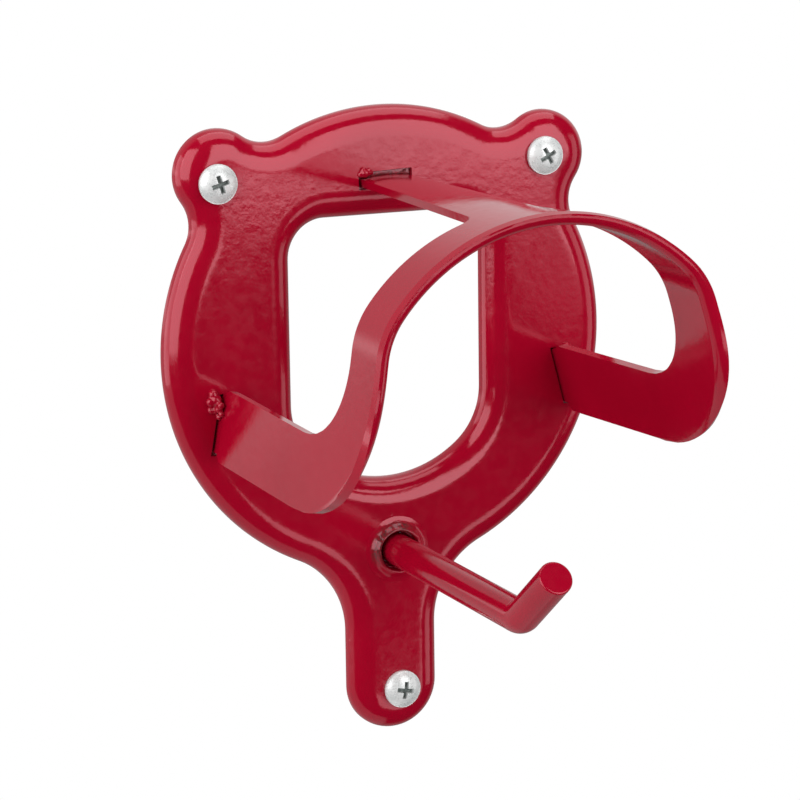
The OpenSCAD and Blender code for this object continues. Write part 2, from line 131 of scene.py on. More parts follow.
class Outline:
    """A closed line drawn clockwise down its right half as arcs and straights, then mirrored."""

    def __init__(self, bm: Mesh, top: float) -> None:
        """Starts the line in a mesh, at a height in the middle."""
        self.bm = bm
        self.chain = [bmesh.ops.create_vert(bm, co=(0, 0, top))["vert"][0]]

    def arc(self, centre: Vector, end: float, inward: bool = False, step: float = 2.5) -> None:
        """Sweeps the last point round a centre.

        Args:
            centre: Centre of the arc.
            end: Bearing at which the arc ends, in radians.
            inward: Whether the line bends inwards and so runs anticlockwise.
            step: Largest step of the sweep, in degrees.
        """
        turn = (end - bearing(centre, self.chain[-1].co)) % math.tau
        if inward:
            turn -= math.tau
        known = len(self.bm.verts)
        steps = max(2, math.ceil(abs(turn) / math.radians(step)))
        bmesh.ops.spin(self.bm, geom=[self.chain[-1]], cent=centre, axis=(0, 1, 0), dvec=(0, 0, 0),
                       angle=turn, steps=steps, use_merge=False, use_duplicate=False)
        self.bm.verts.ensure_lookup_table()
        self.chain.extend(self.bm.verts[known:])

    def line(self, point: Vector, parts: int = 1) -> None:
        """Runs the line straight to a point in equal parts."""
        start = self.chain[-1].co.copy()
        for i in range(1, parts + 1):
            made = bmesh.ops.extrude_vert_indiv(self.bm, verts=[self.chain[-1]])["verts"][0]
            made.co = start.lerp(point, i / parts)
            self.chain.append(made)

    def close(self) -> list[Vert]:
        """Mirrors the half line, joins the two and returns the points, clockwise from the top."""
        half = set(self.chain)
        edges = [e for e in self.bm.edges if e.verts[0] in half and e.verts[1] in half]
        second, third = self.chain[1], self.chain[2]
        bmesh.ops.mirror(self.bm, geom=[*self.chain, *edges], matrix=Matrix.Identity(4),
                         merge_dist=SAME_POINT, axis="X")
        loop, last, here = [second], second, third
        while here is not second:
            loop.append(here)
            ahead = next(e.other_vert(here) for e in here.link_edges if e.other_vert(here) is not last)
            last, here = here, ahead
        return [loop[-1], *loop[:-1]]


def outward(loop: list[Vert]) -> list[Vector]:
    """Returns the normals of a clockwise closed line, in its own plane."""
    count = len(loop)
    normals = []
    for i in range(count):
        before = (loop[i].co - loop[i - 1].co).normalized()
        after = (loop[(i + 1) % count].co - loop[i].co).normalized()
        along = (before + after).normalized()
        normals.append(Vector((-along.z, 0, along.x)))
    return normals


def loop_edges(bm: Mesh, loop: list[Vert]) -> list[Edge]:
    """Returns the edges of a closed line."""
    return [bm.edges.get((loop[i - 1], loop[i])) for i in range(len(loop))]


def drawn_out(bm: Mesh, edges: list[Edge]) -> set[Vert]:
    """Extrudes edges into faces and returns the new points, still in the old places."""
    geom = bmesh.ops.extrude_edge_only(bm, edges=edges)["geom"]
    return {g for g in geom if isinstance(g, Vert)}


def beyond(old: Vert, fresh: set[Vert]) -> Vert:
    """Returns the new point that was drawn out of an old one."""
    return next(e.other_vert(old) for e in old.link_edges if e.other_vert(old) in fresh)


def grow_ring(bm: Mesh, loop: list[Vert],
              places: list[Vector]) -> list[Vert]:
    """Extrudes a closed line into a band of faces.

    Args:
        bm: Mesh that holds the line.
        loop: Points of the line in order.
        places: Where each of them goes.

    Returns:
        The points of the new line in the same order.
    """
    fresh = drawn_out(bm, loop_edges(bm, loop))
    ring = [beyond(old, fresh) for old in loop]
    for new, place in zip(ring, places):
        new.co = place
    return ring


def lathe(bm: Mesh, profile: list[tuple[float, float]], centre: Vector, steps: int,
          closed: bool = False) -> list[Vert]:
    """Turns a profile once round an axis along Y.

    Args:
        bm: Mesh to add to.
        profile: Radius and distance in front of the centre of each point in order.
        centre: Point on the axis.
        steps: Steps of the turn.
        closed: Whether the profile's last point joins its first.

    Returns:
        The vertices of the turned skin.
    """
    known = len(bm.verts)
    chain = [bmesh.ops.create_vert(bm, co=centre + Vector((profile[0][0], -profile[0][1], 0)))["vert"][0]]
    for radius, ahead in profile[1:]:
        made = bmesh.ops.extrude_vert_indiv(bm, verts=[chain[-1]])["verts"][0]
        made.co = centre + Vector((radius, -ahead, 0))
        chain.append(made)
    edges = [bm.edges.get((chain[i], chain[i + 1])) for i in range(len(chain) - 1)]
    if closed:
        edges.append(bmesh.ops.contextual_create(bm, geom=[chain[-1], chain[0]])["edges"][0])
    bmesh.ops.spin(bm, geom=[*chain, *edges], cent=centre, axis=(0, 1, 0), dvec=(0, 0, 0),
                   angle=math.tau, steps=steps, use_merge=True, use_duplicate=False)
    bm.verts.ensure_lookup_table()
    skin = bm.verts[known:]
    bmesh.ops.remove_doubles(bm, verts=skin, dist=1e-4)
    bm.verts.ensure_lookup_table()
    return bm.verts[known:]


def block(bm: Mesh, low: Vector, high: Vector) -> list[Vert]:
    """Adds a box between two corners and returns its vertices."""
    made = bmesh.ops.create_cube(bm, size=1.0)["verts"]
    bmesh.ops.scale(bm, vec=high - low, verts=made)
    bmesh.ops.translate(bm, vec=(low + high) / 2, verts=made)
    return made


def turn_up(bm: Mesh, verts: list[Vert], turn: float) -> None:
    """Turns vertices about the plate's middle, right side up."""
    bmesh.ops.rotate(bm, cent=(0, 0, 0), matrix=Matrix.Rotation(-turn, 3, "Y"), verts=verts)


def drill(bm: Mesh, centre: Vector, radius: float, depth: float) -> None:
    """Adds a round bar along Y, centred on a point."""
    made = bmesh.ops.create_cone(bm, cap_ends=True, cap_tris=False, segments=64, radius1=radius,
                                 radius2=radius, depth=depth)["verts"]
    bmesh.ops.rotate(bm, cent=(0, 0, 0), matrix=Matrix.Rotation(QUARTER_TURN, 3, "X"), verts=made)
    bmesh.ops.translate(bm, vec=centre, verts=made)


def as_object(bm: Mesh, name: str) -> Piece:
    """Makes an object of a bmesh, still in millimetres, and frees the bmesh."""
    mesh = bpy.data.meshes.new(name)
    bm.to_mesh(mesh)
    bm.free()
    obj = bpy.data.objects.new(name, mesh)
    bpy.context.scene.collection.objects.link(obj)
    return obj


@contextmanager
def editing(obj: Piece) -> Iterator[Mesh]:
    """Opens an object's mesh for changes, then writes it back."""
    bm = bmesh.new()
    bm.from_mesh(obj.data)
    yield bm
    bm.to_mesh(obj.data)
    bm.free()


def settle(obj: Piece) -> None:
    """Applies an object's modifiers to its mesh."""
    graph = bpy.context.evaluated_depsgraph_get()
    made = bpy.data.meshes.new_from_object(obj.evaluated_get(graph))
    old, name = obj.data, obj.data.name
    obj.modifiers.clear()
    obj.data = made
    bpy.data.meshes.remove(old)
    made.name = name


def thicken(obj: Piece, thickness: float, offset: float) -> None:
    """Gives a sheet its thickness, from -1 behind its faces to 1 in front of them."""
    wall = obj.modifiers.new("sheet", "SOLIDIFY")
    wall.thickness = thickness
    wall.offset = offset
    wall.use_even_offset = True
    settle(obj)


def carve(obj: Piece, tool: Piece) -> None:
    """Cuts a tool's shape out of an object and deletes the tool."""
    cut = obj.modifiers.new("cut", "BOOLEAN")
    cut.operation = "DIFFERENCE"
    cut.solver = "EXACT"
    cut.object = tool
    settle(obj)
    bpy.data.objects.remove(tool)


def round_edges(obj: Piece, width: float, segments: int, sharper_than: float) -> None:
    """Rounds the sharp edges of an object's mesh.

    Args:
        obj: Object to change.
        width: Width of the rounding, in the mesh's own unit.
        segments: Steps across the rounding.
        sharper_than: Least angle between the faces at an edge, in degrees.
    """
    least = math.radians(sharper_than)
    with editing(obj) as bm:
        bmesh.ops.remove_doubles(bm, verts=bm.verts, dist=SAME_POINT)
        bmesh.ops.dissolve_degenerate(bm, dist=SAME_POINT, edges=bm.edges)
        sharp = [e for e in bm.edges if e.is_manifold and e.calc_face_angle(0.0) > least]
        bmesh.ops.bevel(bm, geom=sharp, offset=width, offset_type="OFFSET", segments=segments, profile=0.5,
                        affect="EDGES", clamp_overlap=True, material=-1)


class NodeBench:
    """Adds nodes to one tree with their inputs set or linked."""

    def __init__(self, tree: bpy.types.NodeTree) -> None:
        """Keeps the tree to work on."""
        self.tree = tree

    def add(self, kind: str, inputs: dict[str | int, Value] | None = None,
            **settings: str | float | bool | bpy.types.NodeTree) -> bpy.types.Node:
        """Adds a node.

        Args:
            kind: Blender's type name of the node.
            inputs: Values or sockets for its inputs, by name or by place.
            settings: Properties of the node.

        Returns:
            The new node.
        """
        node = self.tree.nodes.new(kind)
        for name, setting in settings.items():
            setattr(node, name, setting)
        for key, value in (inputs or {}).items():
            if isinstance(value, Socket):
                self.tree.links.new(value, node.inputs[key])
            else:
                node.inputs[key].default_value = value
        return node

    def math(self, operation: str, *values: Value) -> Socket:
        """Adds a sum of one kind and returns its result."""
        return self.add("ShaderNodeMath", dict(enumerate(values)), operation=operation).outputs[0]

    def ramp(self, value: Socket, low: float, high: float, out_low: float = 0.0,
             out_high: float = 1.0) -> Socket:
        """Adds a clamped soft step from one value to another and returns its result."""
        node = self.add("ShaderNodeMapRange", {"Value": value, "From Min": low, "From Max": high,
                                               "To Min": out_low, "To Max": out_high},
                        interpolation_type="SMOOTHSTEP")
        return node.outputs["Result"]

    def mix(self, share: Value, a: Value, b: Value) -> Socket:
        """Adds a mix of two colours and returns its result."""
        return self.add("ShaderNodeMix", {0: share, 6: a, 7: b}, data_type="RGBA").outputs[2]

    def between(self, share: Value, a: Value, b: Value) -> Socket:
        """Adds a mix of two numbers and returns its result."""
        return self.add("ShaderNodeMix", {0: share, 2: a, 3: b}, data_type="FLOAT").outputs[0]

    def noise(self, place: Socket, scale: Value, detail: float = 2.0, rough: float = 0.5) -> Socket:
        """Adds a noise pattern and returns its values from 0 to 1."""
        return self.add("ShaderNodeTexNoise", {"Vector": place, "Scale": scale, "Detail": detail,
                                               "Roughness": rough}).outputs["Fac"]


class EffectGroup:
    """A shader node group with named inputs and outputs, built once."""

    def __init__(self, name: str, inputs: dict[str, float], outputs: dict[str, str]) -> None:
        """Makes the empty group.

        Args:
            name: Name of the group.
            inputs: Default value of each plain number that goes in.
            outputs: Socket type of each result.
        """
        self.tree = bpy.data.node_groups.new(name, "ShaderNodeTree")
        for label, value in inputs.items():
            socket = self.tree.interface.new_socket(name=label, in_out="INPUT", socket_type="NodeSocketFloat")
            socket.default_value = value
        for label, kind in outputs.items():
            self.tree.interface.new_socket(name=label, in_out="OUTPUT", socket_type=kind)
        self.bench = NodeBench(self.tree)
        self.given = self.tree.nodes.new("NodeGroupInput").outputs
        self.place = self.bench.add("ShaderNodeTexCoord").outputs["Object"]

    def put_out(self, results: dict[str, Socket]) -> None:
        """Links the results to the group's outputs."""
        self.bench.add("NodeGroupOutput", results)


class Effects:
    """The surface effects that the finishes share."""

    def __init__(self) -> None:
        """Builds the groups."""
        self.peel = self._peel()
        self.drift = self._drift()

    @staticmethod
    def _peel() -> bpy.types.NodeTree:
        """Builds the skin of a sprayed finish: waves, grain and nibs of dust, from about 0 to 1 high."""
        group = EffectGroup("sprayed_skin", {"Waves": 1.0, "Grain": 0.4, "Nibs": 1.0},
                            {"Height": "NodeSocketFloat"})
        b, place = group.bench, group.place
        waves = b.math("MULTIPLY", b.noise(place, 520.0, 1.0, 0.4), group.given["Waves"])
        grain = b.math("MULTIPLY", b.noise(place, 1500.0, 1.0, 0.5), group.given["Grain"])
        cells = b.add("ShaderNodeTexVoronoi", {"Vector": place, "Scale": 95.0, "Randomness": 1.0})
        chosen = b.math("GREATER_THAN", b.add("ShaderNodeSeparateColor",
                                              {"Color": cells.outputs["Color"]}).outputs[0], 0.62)
        dot = b.ramp(cells.outputs["Distance"], 0.018, 0.05, 1.0, 0.0)
        nibs = b.math("MULTIPLY", b.math("MULTIPLY", dot, chosen), group.given["Nibs"])
        group.put_out({"Height": b.math("ADD", b.math("ADD", waves, grain), nibs)})
        return group.tree

    @staticmethod
    def _drift() -> bpy.types.NodeTree:
        """Builds the slow drift of tone over a surface and a finer mottling, each from 0 to 1."""
        group = EffectGroup("tone_drift", {"Slow": 28.0, "Fine": 420.0},
                            {"Slow": "NodeSocketFloat", "Fine": "NodeSocketFloat"})
        b = group.bench
        group.put_out({"Slow": b.ramp(b.noise(group.place, group.given["Slow"], 3.0, 0.55), 0.3, 0.7),
                       "Fine": b.ramp(b.noise(group.place, group.given["Fine"], 3.0, 0.6), 0.3, 0.7)})
        return group.tree


class FinishBench(NodeBench):
    """Bench of one new material, with its shader at hand."""

    def __init__(self, name: str) -> None:
        """Makes the material."""
        self.material = bpy.data.materials.new(name)
        self.material.use_nodes = True
        super().__init__(self.material.node_tree)
        self.shader = self.tree.nodes["Principled BSDF"].inputs

    def effect(self, group: bpy.types.NodeTree, **inputs: float) -> bpy.types.bpy_prop_collection:
        """Adds a shared effect with some inputs set and returns its outputs."""
        return self.add("ShaderNodeGroup", inputs, node_tree=group).outputs

    def share(self, name: str) -> Socket:
        """Reads a share that the mesh keeps for its vertices."""
        return self.add("ShaderNodeAttribute", attribute_name=name).outputs["Fac"]

    def wire(self, colour: Socket, rough: Socket, height: Socket, depth: float) -> None:
        """Links colour, roughness and bump to the shader.

        Args:
            colour: Base colour.
            rough: Roughness.
            height: Height of the skin, from about 0 to 1.
            depth: Depth of the skin in metres.
        """
        bump = self.add("ShaderNodeBump", {"Strength": 1.0, "Distance": depth, "Height": height})
        self.tree.links.new(colour, self.shader["Base Color"])
        self.tree.links.new(rough, self.shader["Roughness"])
        self.tree.links.new(bump.outputs["Normal"], self.shader["Normal"])


@dataclass(frozen=True)
class PowderCoat:
    """Glossy red coat baked over pressed steel, browned where the weld's heat came through, and darkened with
    painted shade on the root welds deep in the slots.
    """

    name: str = "red_powder_coat"
    thin: tuple = (0.295, 0.0006, 0.0135, 1.0)
    full: tuple = (0.335, 0.0010, 0.0165, 1.0)
    # Dark brown for the heat browning near the collar, also used as painted shade on the root welds in the
    # slots.
    scorched_and_shaded: tuple = (0.085, 0.022, 0.022, 1.0)
    gloss: float = 0.10
    mottled: float = 0.15
    peel_depth: float = 0.000022
    ior: float = 1.5
    sheen: float = 1.0
    sheen_tint: tuple = (1.0, 0.5, 0.56, 1.0)

    def material(self, effects: Effects) -> bpy.types.Material:
        """Makes the red coat out of the shared surface effects."""
        b = FinishBench(self.name)
        drift, peel = b.effect(effects.drift), b.effect(effects.peel)
        specks = b.effect(effects.drift, Slow=300.0, Fine=1500.0)
        # This share mixes in the dark brown: real heat browning on the collar, painted shade on the root
        # welds inside the slots.
        burnt_and_shaded = b.math("MULTIPLY", b.share("scorch_and_shade"), b.ramp(specks["Fine"], -0.5, 1.0))
        colour = b.mix(burnt_and_shaded, b.mix(drift["Slow"], self.thin, self.full), self.scorched_and_shaded)
        rough = b.ramp(drift["Fine"], 0.0, 1.0, self.gloss, self.mottled)
        b.wire(colour, rough, peel["Height"], self.peel_depth)
        b.shader["IOR"].default_value = self.ior
        b.shader["Specular IOR Level"].default_value = self.sheen
        b.shader["Specular Tint"].default_value = self.sheen_tint
        return b.material


@dataclass(frozen=True)
class ZincPlate:
    """Bright zinc on the screws, faintly cloudy, with painted shade greying the cross recess."""

    name: str = "zinc_plate"
    bright: tuple = (0.78, 0.785, 0.78, 1.0)
    cloudy: tuple = (0.64, 0.66, 0.655, 1.0)
    # Dark grey painted into the cross recess as painted shade.
    sunk: tuple = (0.16, 0.185, 0.175, 1.0)
    polish: float = 0.24
    frost: float = 0.42
    grain_depth: float = 0.00001
    metal: float = 0.3

    def material(self, effects: Effects) -> bpy.types.Material:
        """Makes the zinc plate out of the shared surface effects."""
        b = FinishBench(self.name)
        drift = b.effect(effects.drift, Slow=260.0, Fine=1300.0)
        peel = b.effect(effects.peel, Waves=0.5, Grain=0.8, Nibs=0.0)
        # The recess share mixes in the dark grey as painted shade.
        colour = b.mix(b.share("sunk"), b.mix(drift["Slow"], self.bright, self.cloudy), self.sunk)
        rough = b.ramp(drift["Fine"], 0.0, 1.0, self.polish, self.frost)
        b.wire(colour, rough, peel["Height"], self.grain_depth)
        b.shader["Metallic"].default_value = self.metal
        return b.material


@dataclass
class Finishes:
    """The materials of the rack, made once."""

    effects: Effects = field(default_factory=Effects)

    def __post_init__(self) -> None:
        """Makes each material."""
        self.by_slot = {Slot.RED_COAT: PowderCoat().material(self.effects),
                        Slot.ZINC: ZincPlate().material(self.effects)}

    def dress(self, obj: Piece, slot: Slot, *nodes: str) -> None:
        """Scales a mesh to metres, gives it its finish and sets it in the frame.

        Args:
            obj: Finished piece, in millimetres.
            slot: Finish that it takes.
            nodes: Solids that it stands for.
        """
        obj.data.transform(Matrix.Scale(MM, 4))
        obj.data.shade_smooth()
        obj.data.materials.clear()
        obj.data.materials.append(self.by_slot[slot])
        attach(obj, "root")
        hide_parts(*nodes)
        LOG.info("%s: %d faces, for %s", obj.name, len(obj.data.polygons), ", ".join(nodes))


def even_normals(obj: Piece) -> None:
    """Weights an object's smooth normals by the size of its faces."""
    weigh = obj.modifiers.new("even_normals", "WEIGHTED_NORMAL")
    weigh.weight = 50
    weigh.keep_sharp = False


def mark(obj: Piece, name: str, shares: list[float]) -> None:
    """Keeps a share for every vertex under a name that a finish reads."""
    kept = obj.data.attributes.new(name, "FLOAT", "POINT")
    kept.data.foreach_set("value", shares)


@dataclass
class HeadSupport:
    """Bent sheet that holds the bridle's headpiece: shelf with a rolled lip, two legs and a top strut."""

    sheet: float = 2.0
    top: float = 41.7
    crown_r: float = 48.0
    crown_half_angle: float = 47.0
    shoulder_r: float = 20.0
    side_lean: float = 12.5
    leg_low: float = -22.2
    leg_high: float = -5.0
    reach: float = 93.6
    shelf_depth: float = 17.0
    turn: float = 2.3
    twist: float = 2.8
    rise: float = 0.1
    rise_start: float = 11.0
    strut_w: float = 16.5
    strut_tab_w: float = 12.5
    leg_corner_r: float = 36.5
    leg_fillet_r: float = 20.5
    strut_fillet_r: float = 4.0
    lip_bend_r: float = 1.2
    lip_turn: float = 80.0
    lip_fade: float = 30.0
    lip_tail: float = 0.52
    lip_least_tail: float = 0.16
    lip_least_turn: float = 0.5
    lip_spare: float = 0.64
    shelf_least: float = 3.0
    tab_step: float = 1.8
    tab_end: float = 1.2
    back: float = 6.0
    low_cut: float = 3.0
    high_cut: tuple[float, float] = (4.0, 1.4)
    root_off: float = 0.35
    root_low: float = 0.6
    root_high: float = 0.3
    root_rows: int = 16
    edge_round: float = 0.4
    column_step: float = 1.1
    curve_room: float = 0.18
    hair: float = 0.01
    shelf_rows: int = 6
    lip_rows: int = 12
    leg_rows: int = 10

    def __post_init__(self) -> None:
        """Works out the places that follow from the sizes."""
        half, lean = math.radians(self.crown_half_angle), math.radians(self.side_lean)
        self.side_normal = QUARTER_TURN - lean
        self.crown_c = Vector((0, 0, self.top - self.crown_r))
        self.shoulder_c = self.crown_c + (self.crown_r - self.shoulder_r) * facing(half)
        self.side_start = self.shoulder_c + self.shoulder_r * Vector((math.cos(lean), 0, math.sin(lean)))
        self.side_way = Vector((math.sin(lean), 0, -math.cos(lean)))
        self.crown_l = self.crown_r * half
        self.side_from = self.crown_l + self.shoulder_r * (self.side_normal - half)
        self.tab_low, self.tab_high = self.leg_low + self.tab_step, self.leg_high - self.tab_step
        self.v_top, self.v_low = self.down(self.leg_high), self.down(self.leg_low)
        self.v_tab = (self.down(self.tab_high), self.down(self.tab_low))
        self.shelf_rear = self.reach - self.shelf_depth
        self.flat_end = self.reach - self.lip_bend_r - self.sheet / 2
        self.strut_u = self.crown_r * math.asin(self.strut_w / 2 / self.crown_r)
        self.bend_l = self.lip_bend_r * math.radians(self.lip_turn) + self.lip_spare

    def down(self, z: float) -> float:
        """Returns the way along a side from the end of its shoulder to a height."""
        return (self.side_start.z - z) / math.cos(math.radians(self.side_lean))

    def side_x(self, z: float) -> float:
        """Returns where the outer face of a side stands at a height."""
        return self.side_start.x + (self.side_start.z - z) * math.tan(math.radians(self.side_lean))

    def station(self, u: float) -> tuple[Vector, float]:
        """Finds a place on the outer line of the bent sheet.

        Args:
            u: Way along the line from the top, negative on the left.

        Returns:
            The point and the angle of its normal from straight up.
        """
        way = abs(u)
        if way <= self.crown_l:
            angle = way / self.crown_r
            point = self.crown_c + self.crown_r * facing(angle)
        elif way <= self.side_from:
            angle = math.radians(self.crown_half_angle) + (way - self.crown_l) / self.shoulder_r
            point = self.shoulder_c + self.shoulder_r * facing(angle)
        else:
            angle = self.side_normal
            point = self.side_start + (way - self.side_from) * self.side_way
        sign = -1 if u < 0 else 1
        return Vector((sign * point.x, 0, point.z)), sign * angle

    def place(self, u: float, lift: float, f: float) -> Vector:
        """Folds a point of the flat sheet into place.

        Args:
            u: Way along the outer line from the top.
            lift: Height of the sheet's middle over that line.
            f: Distance from the wall.

        Returns:
            The point, with the turn and the twist of the support.
        """
        point, angle = self.station(u)
        x, z = point.x + lift * math.sin(angle), point.z + lift * math.cos(angle)
        ahead = max(0.0, f - self.rise_start)
        x, z = turned(x, z, self.turn + self.twist * ahead / (self.reach - self.rise_start))
        return Vector((x, -f, z + math.tan(math.radians(self.rise)) * ahead))

    def curl(self, u: float) -> tuple[float, float]:
        """Returns the share of the lip's curl at a way along the outer line, and its turn in radians."""
        share = ease((self.v_low - max(0.0, abs(u) - self.side_from)) / self.lip_fade)
        return share, math.radians(max(self.lip_least_turn, self.lip_turn * share))

    def lip(self, u: float, t: float) -> tuple[float, float]:
        """Finds a point of the lip, whose curl fades out down the legs.

        Args:
            u: Way along the outer line from the top.
            t: From 0 to 1 round the bend, above 1 along the straight end.

        Returns:
            Lift of the sheet's middle and distance ahead of the flat part.
        """
        turn = self.curl(u)[1]
        radius = self.bend_l / turn
        a = turn * min(1.0, t)
        run = self.lip_tail * max(0.0, t - 1)
        return radius * (1 - math.cos(a)) + run * math.sin(a), radius * math.sin(a) + run * math.cos(a)

    def front(self, u: float) -> float:
        """Returns the distance from the wall of the front of the flat part."""
        share, turn = self.curl(u)
        bend = self.lip_bend_r * math.radians(self.lip_turn) * share + self.lip_spare
        tail = self.lip_least_tail + share * (self.lip_tail - self.lip_least_tail)
        edge = bend / turn * math.sin(turn) + tail * math.cos(turn)
        cut = hollow(self.leg_corner_r, abs(u) - self.side_from - self.v_low + self.leg_corner_r)
        return self.flat_end - cut + edge - self.lip(u, 2.0)[1]

    def rear(self, u: float) -> float:
        """Returns the distance from the wall of the shelf's rear edge."""
        way = abs(u)
        if way < self.crown_l:
            web = self.strut_u + self.strut_fillet_r - way
            return self.shelf_rear - hollow(self.strut_fillet_r, web)
        into = way - self.side_from - self.v_top + self.leg_fillet_r
        return min(self.shelf_rear - hollow(self.leg_fillet_r, into), self.front(u) - self.shelf_least)

    def leg_back(self, u: float) -> float:
        """Returns the distance from the wall of a leg's rear edge, cut back at its corners."""
        v = abs(u) - self.side_from
        high_l, high_w = self.high_cut
        return self.back + max(0.0, v - self.v_low + self.low_cut, high_l * (1 - (v - self.v_top) / high_w))

    def tab_run(self, side: Side) -> tuple[tuple[float, float], ...]:
        """Returns the spots of the weld behind the plate, all round a leg's tab."""
        low, high = self.tab_low - self.root_low, self.tab_high + self.root_high
        rows = [low + (high - low) * i / self.root_rows for i in range(self.root_rows + 1)]
        offs = (self.root_off, -self.sheet - self.root_off)
        spots = [(self.side_x(z) + off, z) for z in rows for off in offs]
        spots += [(self.side_x(z) - self.sheet * i / 4, z) for z in (low - 0.1, high) for i in range(5)]
        return tuple(turned(side.value * x, z, self.turn) for x, z in spots)

    def strut_run(self) -> tuple[tuple[float, float], ...]:
        """Returns the spots of the weld behind the plate, all round the strut's tab."""
        half = self.strut_tab_w / 2 + 0.5
        spots = []
        for i in range(-8, 9):
            x = half * i / 8
            fall = hollow(self.crown_r, abs(x))
            spots += [(x, self.top + self.root_off - fall), (x, self.top + 0.95),
                      (x, self.top - self.sheet - 0.4 - fall)]
        spots += [(end * half, self.top + 0.6 - 0.42 * i) for end in (-1, 1) for i in range(9)]
        return tuple(turned(x, z, self.turn) for x, z in spots)

    def columns(self) -> list[float]:
        """Chooses where the sheet is divided across.

        Returns:
            Ways along the outer line, from the left foot to the right one.
        """
        def quarter(end: float, radius: float, parts: int) -> list[float]:
            return [end - radius * (1 - math.cos(QUARTER_TURN * i / parts)) for i in range(parts + 1)]

        side, strut, fillet = self.side_from, self.strut_u, self.strut_fillet_r
        corners = [0.0, strut, strut + fillet, side + self.v_top - self.leg_fillet_r]
        corners += [side + v for v in (self.v_top, self.v_top + self.high_cut[1], *self.v_tab,
                                       self.v_low - self.low_cut, self.v_low)]
        curves = [strut + fillet * math.sin(QUARTER_TURN * i / 7) ** 2 for i in range(1, 7)]
        curves += quarter(side + self.v_top, self.leg_fillet_r, 9)
        curves += quarter(side + self.v_low, self.leg_corner_r, 10)
        count = int((side + self.v_low) / self.column_step)
        spare = [i * (side + self.v_low) / count for i in range(count)]
        kept = sorted(corners)
        for group, room in ((curves, self.curve_room), (spare, self.column_step * 0.5)):
            fixed = list(kept)
            kept = sorted(kept + [m for m in group if min(abs(m - k) for k in fixed) > room])
        return [-m for m in reversed(kept[1:])] + kept

    def build(self) -> Piece:
        """Folds a grid into the shelf and its lip, draws the legs and the strut out of it, and rounds it.

        Returns:
            The support, in millimetres.
        """
        bm = bmesh.new()
        marks = self.columns()
        rows = self.shelf_rows + self.lip_rows + 1
        made = bmesh.ops.create_grid(bm, x_segments=len(marks) - 1, y_segments=rows, size=1.0)["verts"]
        rear_line: dict[int, Vert] = {}
        for vert in made:
            i = round((vert.co.x + 1) / 2 * (len(marks) - 1))
            j = round((vert.co.y + 1) / 2 * rows)
            u = marks[i]
            if j <= self.shelf_rows:
                lift, f = 0.0, self.rear(u) + (self.front(u) - self.rear(u)) * j / self.shelf_rows
            else:
                lift, f = self.lip(u, (j - self.shelf_rows) / self.lip_rows if j < rows else 2.0)
                f += self.front(u)
            if j == 0:
                rear_line[i] = vert
            vert.co = self.place(u, lift - self.sheet / 2, f)
        legs = [i for i, u in enumerate(marks) if abs(u) > self.side_from + self.v_top - self.hair]
        strut = [i for i, u in enumerate(marks) if abs(u) < self.strut_u + self.hair]
        for part in ([i for i in legs if marks[i] < 0], [i for i in legs if marks[i] > 0], strut):
            self._draw_back(bm, {i: rear_line[i] for i in part}, marks)
        bmesh.ops.recalc_face_normals(bm, faces=bm.faces)
        behind_shelf = [f for f in bm.faces if f.calc_center_median().y > -60]
        if max(behind_shelf, key=lambda f: f.calc_center_median().z).normal.z < 0:
            bmesh.ops.reverse_faces(bm, faces=bm.faces)
        obj = as_object(bm, "support_sheet")
        thicken(obj, self.sheet, 0.0)
        round_edges(obj, self.edge_round, 3, 50)
        even_normals(obj)
        return obj

    def _draw_back(self, bm: Mesh, line: dict[int, Vert],
                   marks: list[float]) -> None:
        """Extrudes a stretch of the shelf's rear edge to the plate, and its tab through it.

        Args:
            bm: Mesh of the sheet.
            line: Points of the rear edge by column.
            marks: Ways along the outer line by column.
        """
        strut = abs(marks[next(iter(line))]) < self.crown_l
        run = self.shelf_rear - self.strut_fillet_r - self.back
        slim = self.strut_tab_w / self.strut_w
        for row in range(1, self.leg_rows + 2):
            if row > self.leg_rows and not strut:
                near, far = (self.side_from + v for v in self.v_tab)
                line = {i: v for i, v in line.items() if near - self.hair < abs(marks[i]) < far + self.hair}
            edges = [bm.edges.get((line[i], line[i + 1])) for i in sorted(line) if i + 1 in line]
            fresh = drawn_out(bm, edges)
            line = {i: beyond(old, fresh) for i, old in line.items()}
            for i, new in line.items():
                u = marks[i]
                rear, back = self.rear(u), self.back if strut else self.leg_back(u)
                f = self.tab_end if row > self.leg_rows else rear + (back - rear) * row / self.leg_rows
                wide = slim + (1 - slim) * min(1.0, max(0.0, f - self.back) / run) if strut else 1.0
                new.co = self.place(u * wide, -self.sheet / 2, f)


